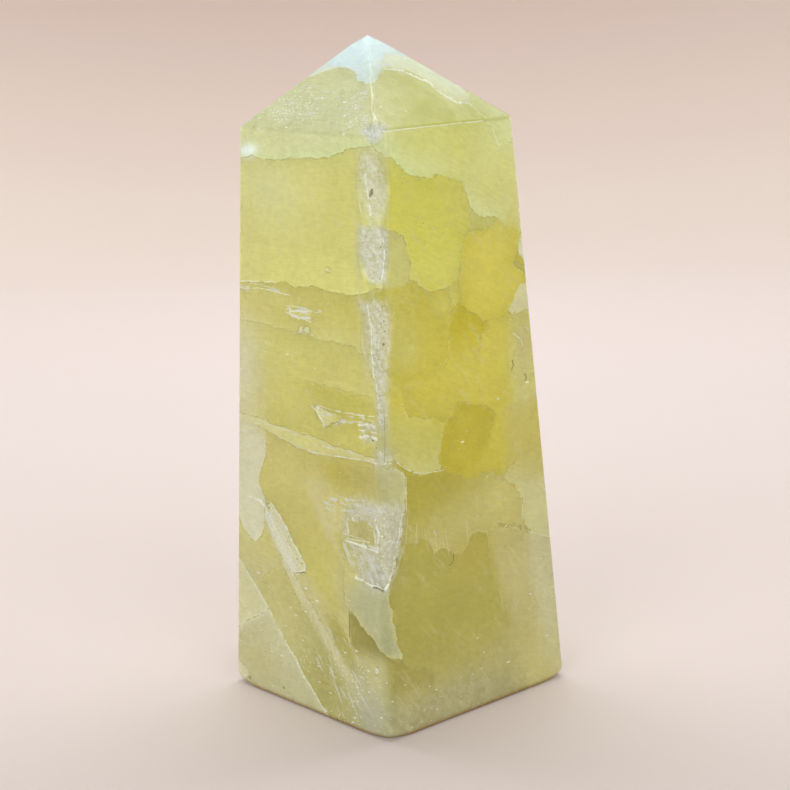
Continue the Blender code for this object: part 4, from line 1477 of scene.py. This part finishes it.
# The window of bare stone in the crust: how far its edge strays, how soft it is, what crust is left
WINDOW_STRAY = 0.6
WINDOW_EDGE = (-0.05, 0.1)
WINDOW_CRUST = 0.12
WINDOW_RIM = 0.25
WINDOW_RIM_STRENGTH = 0.5
# Dust as round dots and level dashes: their size, and the share of cells that have them
DOT_SIZE = (0.16, 0.24)
DOT_SHARE = 0.8
DASH_CELLS = (0.8, 2.6)
DASH_SIZE = 0.34
DASH_SHARE = 0.45
DUST_STRENGTH = 0.7
# Hairlines: half widths, how far off they end, how much they wander, and how they break up
LINE_WIDTH = 1.5
CLEAN_WIDTH = 1.3
WHITE_REACH = 0.8
DARK_REACH = 0.4
WANDER = (2.0, 0.7, 3.5)
CLEAN_WANDER = 0.3
DARK_WANDER = 0.4
WHITE_BREAKS = (0.36, 0.50)
CLEAN_BREAKS = (0.25, 0.45, 0.4, 0.9)
WHITE_STRENGTH = 0.75
# Specks: how rough their edge is and how soft, and how rare and big the stray ones are
SPECK_ROUGH = 1.4
SPECK_SOFT = 0.25
STRAY_ABOVE = 0.994
STRAY_SIZE = 0.24
DARK_STRENGTH = 0.8
# The brown line at the foot: how rough its edge is, where it is full, and how strong
FOOT_ROUGH = 0.3
FOOT_FULL = 0.02
FOOT_STRENGTH = 0.92
# Roughness of the polish by worn clouds, and of frost, streaks, crust and dust
POLISH = (-0.5, 0.6, 0.20, 0.36)
FROST_ROUGH = 0.18
STREAK_ROUGH = 0.8
CRUST_ROUGH = 0.9
DUST_ROUGH = 0.7
# Relief in millimetres: scratches, streaks and crust, and where the crust's starts and is full
SCRATCH_RISE = 0.010
STREAK_RISE = 0.10
CRUST_RISE = 0.5
CRUST_RISE_EDGE = (-0.3, 1.2)
# How the stone bends and reflects light, and its glow from within
STONE_IOR = 1.55
STONE_SHINE = 0.3
GLOW_WEIGHT = 0.25
GLOW_RADIUS = (1.0, 0.9, 0.45)
GLOW_DEPTH = 0.002


class Calcite(Recipe):
    """Polished banded calcite: jagged patches, streaks, dust and rough crust, from the stored marks."""

    def __init__(self):
        super().__init__("lemon_calcite")
        place = self.made("TexCoord", {}, "Object")
        self.mm = self.made("VectorMath", {0: place, 1: (1.0 / MM,) * 3}, 0, operation="MULTIPLY")
        x, y, self.z = self.made("SeparateXYZ", {0: self.mm}, 0, 1, 2)
        self.around = x - y
        self.through = (x + y) * GRAIN_THROUGH
        lean = self.z + self.most(self.around, 0.0) * GRAIN_FALL
        along = self.around * SLANT_RUN[0] + self.z * -SLANT_RUN[1]
        beside = self.around * SLANT_RUN[1] + self.z * SLANT_RUN[0]
        self.level_grain = self.grain(self.around, self.z, *LEVEL_GRAIN)
        self.fine_grain = self.grain(self.around, lean, *FINE_GRAIN)
        self.slant_grain = self.grain(along, beside, *SLANT_GRAIN)
        cloud_color, self.veils = self.stored("clouds")
        self.wide, self.broad, self.worn = self.split(cloud_color)
        self.fine = self.noise(self.mm, *FINE_NOISE) - 0.5
        self.middle = self.noise(self.mm, *MIDDLE_NOISE)
        self.dot_distance, self.dot_random = self.cells(self.mm, DOT_CELLS)
        tooth = self.cells(self.mm, TOOTH_CELLS)[1][0] - 0.5
        by_broad, by_fine, by_tooth = JAG_SHARES
        jag = self.broad * by_broad + self.fine * by_fine + tooth * by_tooth
        rightness = self.step(self.around, -FRONT_TURN, FRONT_TURN)
        self.jag = jag * self.step(rightness, 0.0, 1.0, JAG_ON_LEFT, 1.0)
        self.broken = self.step(self.middle, *BROKEN)
        rough, self.frost = self.stored("rough")
        self.crust_inside, self.window, self.dust = self.split(rough)
        marks, self.crust_strength = self.stored("streaks")
        self.level, self.slant, self.speck = self.split(marks)

    def grain(self, along, across, wave_along, wave_across, detail, rough):
        """Noise drawn out along one direction of the surface."""
        place = self.placed(along * wave_along, across * wave_across, self.through)
        return self.noise(place, 1.0, detail, rough)

    def streak(self, grain, marked, soft, strength):
        """Streaks of a grain where they are marked."""
        past = grain - (STREAK_CUT - marked * STREAK_GAIN)
        return self.step(past, 0.0, soft) * self.step(marked, *STREAK_START) * strength

    def sheets(self, color):
        """The sheets of patches, with a thin dark and a pale line along their edges."""
        for i, line in enumerate(SHEET_LINES):
            tone, distance = self.stored(f"sheet_{i}")
            inside = distance + self.jag
            change = self.math("ABSOLUTE", self.split(tone)[2] - self.split(color)[2])
            shown = self.step(change, *LINE_CHANGE) * self.broken
            color = self.mix(self.step(inside, -PATCH_EDGE, PATCH_EDGE), color, tone)
            dark = self.ridge(inside + DARK_LINE[0], DARK_LINE[1]) * shown * line
            color = self.mix(dark, color, "line_brown")
            pale = self.ridge(inside - PALE_LINE[0], PALE_LINE[1]) * shown * PALE_LINE_STRENGTH
            color = self.mix(pale, color, "mint_edge")
        return color

    def unevenness(self, color):
        """Small changes of brightness, faint veils, dark threads and frosting."""
        light = self.step(self.wide, *WIDE_LIGHT) + self.step(self.middle, *MIDDLE_LIGHT)
        light = light + self.step(self.fine_grain, *GRAIN_LIGHT)
        color = self.made("VectorMath", {0: color, "Scale": light}, 0, operation="SCALE")
        veil = self.step(self.slant_grain, *VEIL_GRAIN) * self.step(self.veils, *VEIL_CLOUDS)
        color = self.mix(veil * VEIL_STRENGTH, color, "diagonal_pale")
        thread = self.step(self.level_grain, *THREAD_GRAIN) * self.step(self.broad, *THREAD_CLOUDS)
        color = self.mix(thread * THREAD_STRENGTH, color, "olive_brown")
        return self.mix(self.frost * self.step(self.middle, *FROST_LIGHT), color, "flake_white")

    def crust(self, color):
        """The rough crust with its pits and flecks, and how much of it shows."""
        edge = self.crust_inside + self.jag * CRUST_STRAY
        soft = self.step(self.crust_strength, *CRUST_SOFTNESS)
        covered = self.step(edge, CRUST_OUTSIDE - soft, soft)
        by_middle, by_fine_grain, by_fine, by_slant = CRUST_TEXTURE
        texture = self.middle * by_middle + self.fine_grain * by_fine_grain
        texture = texture + ((self.fine + 0.5) * by_fine + self.slant_grain * by_slant)
        veil = self.step(texture, *CRUST_VEIL)
        inner = self.mix(veil, "crust_dull", "crust_light")
        pit = self.step(self.dot_distance, *CRUST_PIT) * self.less(self.dot_random[1], PIT_SHARE)
        inner = self.mix(pit * PIT_STRENGTH, inner, "pit")
        fleck = self.step(self.dot_distance, *CRUST_FLECK) * self.more(self.dot_random[1], FLECK_ABOVE)
        inner = self.mix(fleck * FLECK_STRENGTH, inner, "white")
        window = self.window + self.jag * WINDOW_STRAY
        closed = self.step(self.step(window, *WINDOW_EDGE), 0.0, 1.0, 1.0, WINDOW_CRUST)
        by_veil, at_least = CRUST_COVER
        share = covered * self.crust_strength * (veil * by_veil + at_least) * closed
        color = self.mix(share, color, inner)
        rim = self.ridge(window, WINDOW_RIM) * covered * self.broken
        return self.mix(rim * WINDOW_RIM_STRENGTH, color, "white"), share

    def dusting(self):
        """Where grains of white dust lie."""
        size = self.dot_random[2] * (self.dust * DOT_SIZE[0] + DOT_SIZE[1])
        dots = self.less(self.dot_distance, size) * self.less(self.dot_random[0], self.dust * DOT_SHARE)
        place = self.placed(self.around * DASH_CELLS[0], self.z * DASH_CELLS[1], self.through)
        distance, random = self.cells(place, 1.0)
        dashes = self.less(distance, random[2] * DASH_SIZE) * self.less(random[0], self.dust * DASH_SHARE)
        return self.most(dots, dashes)

    def hairline(self, line, wander, half_width, far, reach):
        """A thin line by its stored distances."""
        return self.ridge(line + wander, half_width) * self.less(far, reach)

    def lines(self, color):
        """Hairlines, dark specks and the brown line at the foot."""
        line_color, dark_far = self.stored("hairlines")
        white_line, white_far, dark_line = self.split(line_color)
        clean_line, clean_far, on_side = self.split(self.stored("clean_lines")[0])
        by_fine, by_middle, by_all = WANDER
        wander = self.fine * by_fine + (self.jag + (self.middle - 0.5) * by_middle) * by_all
        white = self.hairline(white_line, wander, LINE_WIDTH, white_far, WHITE_REACH)
        white = white * self.step(self.middle, *WHITE_BREAKS)
        clean = self.hairline(clean_line, wander * CLEAN_WANDER, CLEAN_WIDTH, clean_far, WHITE_REACH)
        white = self.most(white, clean * self.step(self.middle, *CLEAN_BREAKS))
        color = self.mix(white * WHITE_STRENGTH, color, "white")
        dark = self.hairline(dark_line, wander * DARK_WANDER, LINE_WIDTH, dark_far, DARK_REACH)
        speck = self.step(self.speck + self.fine * SPECK_ROUGH, 0.0, SPECK_SOFT)
        stray = self.less(self.dot_distance, self.dot_random[2] * STRAY_SIZE)
        stray = stray * self.more(self.dot_random[1], STRAY_ABOVE)
        color = self.mix(self.most(dark, speck, stray) * DARK_STRENGTH, color, "pit")
        foot = self.step(self.z + self.fine * FOOT_ROUGH, FOOT_LINE, FOOT_FULL)
        return self.mix(foot * on_side * FOOT_STRENGTH, color, "foot_brown")

    def relief(self):
        """Fine scratches, streaks and crust, as the surface's slopes."""
        streaky = self.level * self.level_grain + self.slant * self.slant_grain
        rise = (self.level_grain + self.fine_grain) * SCRATCH_RISE + streaky * STREAK_RISE
        crust_edge = self.step(self.crust_inside, *CRUST_RISE_EDGE)
        rise = rise + crust_edge * self.crust_strength * (self.middle * CRUST_RISE)
        return self.made("Bump", {"Strength": 1.0, "Distance": MM, "Height": rise}, 0)


def lemon_calcite():
    """The stone's material."""
    stone = Calcite()
    color = stone.unevenness(stone.sheets(stone.stored("ground")[0]))
    level_streak = stone.streak(stone.level_grain, stone.level, *LEVEL_STREAK)
    slant_streak = stone.streak(stone.slant_grain, stone.slant, *SLANT_STREAK)
    streak = stone.most(level_streak, slant_streak)
    color, crust = stone.crust(stone.mix(streak, color, "crust_light"))
    dust = stone.dusting()
    color = stone.lines(stone.mix(dust * DUST_STRENGTH, color, "white"))
    polish = stone.step(stone.worn, *POLISH) + stone.frost * FROST_ROUGH
    roughness = stone.most(polish, streak * STREAK_ROUGH, crust * CRUST_ROUGH, dust * DUST_ROUGH)
    return stone.shaded({
        "Base Color": color,
        "Roughness": roughness,
        "Normal": stone.relief(),
        "IOR": STONE_IOR,
        "Specular IOR Level": STONE_SHINE,
        "Subsurface Weight": GLOW_WEIGHT,
        "Subsurface Radius": GLOW_RADIUS,
        "Subsurface Scale": GLOW_DEPTH,
    })


def ring_faces(rings, columns):
    """Quads between rings of points, the first ring starting at point 1."""
    faces = []
    for lower in range(1, 1 + (rings - 1) * columns, columns):
        for i in range(columns):
            j = (i + 1) % columns
            faces.append((lower + i, lower + j, lower + columns + j, lower + columns + i))
    return faces


def add_object(name, data):
    """A new object in the scene."""
    made = bpy.data.objects.new(name, data)
    bpy.context.scene.collection.objects.link(made)
    return made


def mesh_object(name, points, faces, material):
    """A new smooth mesh in the scene."""
    data = bpy.data.meshes.new(name)
    data.from_pydata(points, [], faces)
    data.shade_smooth()
    data.materials.append(material)
    return add_object(name, data)


def make_stone(material):
    """The dense stone as one closed mesh, inside the CAD solid's box."""
    rings = sharp_rings()
    columns = len(rings[0])
    points = settle(np.concatenate([np.zeros((1, 3))] + rings + [POINT[None]]))
    points[np.abs(points[:, 2]) < FLAT_WITHIN, 2] = 0.0
    points[: columns + 1, 2] = 0.0
    box_low, box_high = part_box("calcite_tower")
    points = np.clip(crust_relief(points), np.array(box_low) / MM, np.array(box_high) / MM)
    faces = ring_faces(len(rings), columns)
    last = 1 + (len(rings) - 1) * columns
    for i in range(columns):
        j = (i + 1) % columns
        faces.append((0, 1 + j, 1 + i))
        faces.append((last + i, last + j, len(points) - 1))
    stone = mesh_object("polished_stone", (points * MM).tolist(), faces, material)
    mark_stone(stone.data, points)
    return stone


# Distance beyond the stone where the paper's tones start and end, and the tones between them: its pale
# pink with painted light falloff, darker on the near side and up the far wall
STAGE_NEAR = -0.20
STAGE_FAR = 0.70
STAGE_TONES_AND_SHADE = (
    (0.0, (0.64, 0.575, 0.545, 1.0)),
    (0.22, (0.745, 0.665, 0.63, 1.0)),
    (0.44, (0.745, 0.668, 0.635, 1.0)),
    (0.60, (0.79, 0.705, 0.67, 1.0)),
    (0.69, (0.83, 0.74, 0.675, 1.0)),
    (0.79, (0.85, 0.75, 0.675, 1.0)),
    (0.88, (0.84, 0.71, 0.635, 1.0)),
    (0.93, (0.81, 0.675, 0.61, 1.0)),
    (1.0, (0.745, 0.60, 0.51, 1.0)),
)
STAGE_ROUGHNESS = 0.9
STAGE_SHINE = 0.2
# The sweep in metres: its flat, its curve and its top, and how finely it is divided
STAGE_FLAT = 0.42
STAGE_CURVE = 0.40
STAGE_TOP = 1.1
STAGE_RINGS = 6
STAGE_STEPS = 16
STAGE_SIDES = 96
FLOOR_GAP = 0.00002


def stage_material():
    """Pale pink paper with painted light falloff: darker on the near side, brightest where the floor curves
    up, darker again up the far wall.
    """
    paper = Recipe("stage_paper")
    azimuth = math.radians(VIEW_AZIMUTH)
    away = (-math.sin(azimuth), math.cos(azimuth), 0.0)
    place = paper.made("TexCoord", {}, "Object")
    distance = paper.made("VectorMath", {0: place, 1: away}, "Value", operation="DOT_PRODUCT")
    share = paper.made("MapRange", {0: distance, 1: STAGE_NEAR, 2: STAGE_FAR}, 0)
    tone_and_shade = paper.made("ValToRGB", {0: share}, 0)
    points = tone_and_shade.socket.node.color_ramp.elements
    points[0].position, points[0].color = STAGE_TONES_AND_SHADE[0]
    points[1].position, points[1].color = STAGE_TONES_AND_SHADE[-1]
    for position, color in STAGE_TONES_AND_SHADE[1:-1]:
        points.new(position).color = color
    return paper.shaded({
        "Base Color": tone_and_shade,
        "Roughness": STAGE_ROUGHNESS,
        "Specular IOR Level": STAGE_SHINE,
    })


def make_stage():
    """A round paper sweep: flat where the stone stands, curving up all round."""
    profile = [(STAGE_FLAT * i / STAGE_RINGS, 0.0) for i in range(1, STAGE_RINGS + 1)]
    for i in range(1, STAGE_STEPS + 1):
        turn = math.pi / 2 * i / STAGE_STEPS
        profile.append((STAGE_FLAT + STAGE_CURVE * math.sin(turn), STAGE_CURVE * (1 - math.cos(turn))))
    profile.append((STAGE_FLAT + STAGE_CURVE, STAGE_TOP))
    points = [(0.0, 0.0, -FLOOR_GAP)]
    for radius, height in profile:
        for i in range(STAGE_SIDES):
            turn = 2 * math.pi * i / STAGE_SIDES
            points.append((radius * math.cos(turn), radius * math.sin(turn), height - FLOOR_GAP))
    faces = [(0, 1 + i, 1 + (i + 1) % STAGE_SIDES) for i in range(STAGE_SIDES)]
    faces += [(a, d, c, b) for a, b, c, d in ring_faces(len(profile), STAGE_SIDES)]
    sweep = mesh_object("stage_sweep", points, faces, stage_material())


# Soft lights: name, place, aim, width, height, power
SOFT_LIGHTS = (
    ("back_softbox", (0.13, 0.145, 0.38), (0.13, 0.145, 0.0), 0.40, 0.40, 1.25),
    ("left_fill", (-0.62, -0.20, 0.18), (0.0, 0.0, 0.06), 0.45, 0.32, 2.65),
    ("right_fill", (-0.14, -0.62, 0.18), (0.0, 0.0, 0.06), 0.45, 0.32, 2.15),
    ("far_left_fill", (-0.10, 0.62, 0.22), (0.0, 0.0, 0.05), 0.45, 0.35, 1.0),
    ("far_right_fill", (0.62, -0.10, 0.22), (0.0, 0.0, 0.05), 0.45, 0.35, 1.0),
)
LIGHT_COLOR = (0.96, 0.985, 1.0)
WORLD_COLOR = (0.98, 0.985, 0.98, 1.0)
WORLD_STRENGTH = 0.18


def make_lights():
    """The studio's soft lights, and an even light from all round."""
    for name, place, aim, width, height, power in SOFT_LIGHTS:
        light = bpy.data.lights.new(name, "AREA")
        light.shape = "RECTANGLE"
        light.size, light.size_y = width, height
        light.energy = power
        light.color = LIGHT_COLOR
        lamp = add_object(name, light)
        lamp.location = place
        lamp.rotation_mode = "QUATERNION"
        lamp.rotation_quaternion = (Vector(aim) - Vector(place)).to_track_quat("-Z", "Y")
        lamp.visible_camera = False
    world = bpy.data.worlds.new("soft_room")
    world.use_nodes = True
    background = world.node_tree.nodes["Background"]
    background.inputs["Color"].default_value = WORLD_COLOR
    background.inputs["Strength"].default_value = WORLD_STRENGTH
    bpy.context.scene.world = world
    bpy.context.scene.view_settings.view_transform = "Standard"


def make_camera():
    """The photo's camera: a long lens looking a little down at the worn front edge."""
    azimuth, elevation = math.radians(VIEW_AZIMUTH), math.radians(VIEW_ELEVATION)
    level = math.cos(elevation)
    back = Vector((math.sin(azimuth) * level, -math.cos(azimuth) * level, math.sin(elevation)))
    right = Vector((math.cos(azimuth), math.sin(azimuth), 0.0))
    target = right * VIEW_TARGET[0] + Vector((0.0, 0.0, VIEW_TARGET[1]))
    axes = Matrix((right, back.cross(right), back)).transposed()
    axes = Matrix.Rotation(math.radians(VIEW_ROLL), 3, back) @ axes
    data = bpy.data.cameras.new("photo_camera")
    data.sensor_width = SENSOR
    data.lens = LENS
    data.clip_start, data.clip_end = CLIP_START, CLIP_END
    camera = add_object("photo_camera", data)
    camera.matrix_world = Matrix.Translation((target + back * VIEW_DISTANCE) * MM) @ axes.to_4x4()
    bpy.context.scene.camera = camera


stone = make_stone(lemon_calcite())
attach(stone, "root")
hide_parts("calcite_tower")
make_stage()
make_lights()
make_camera()
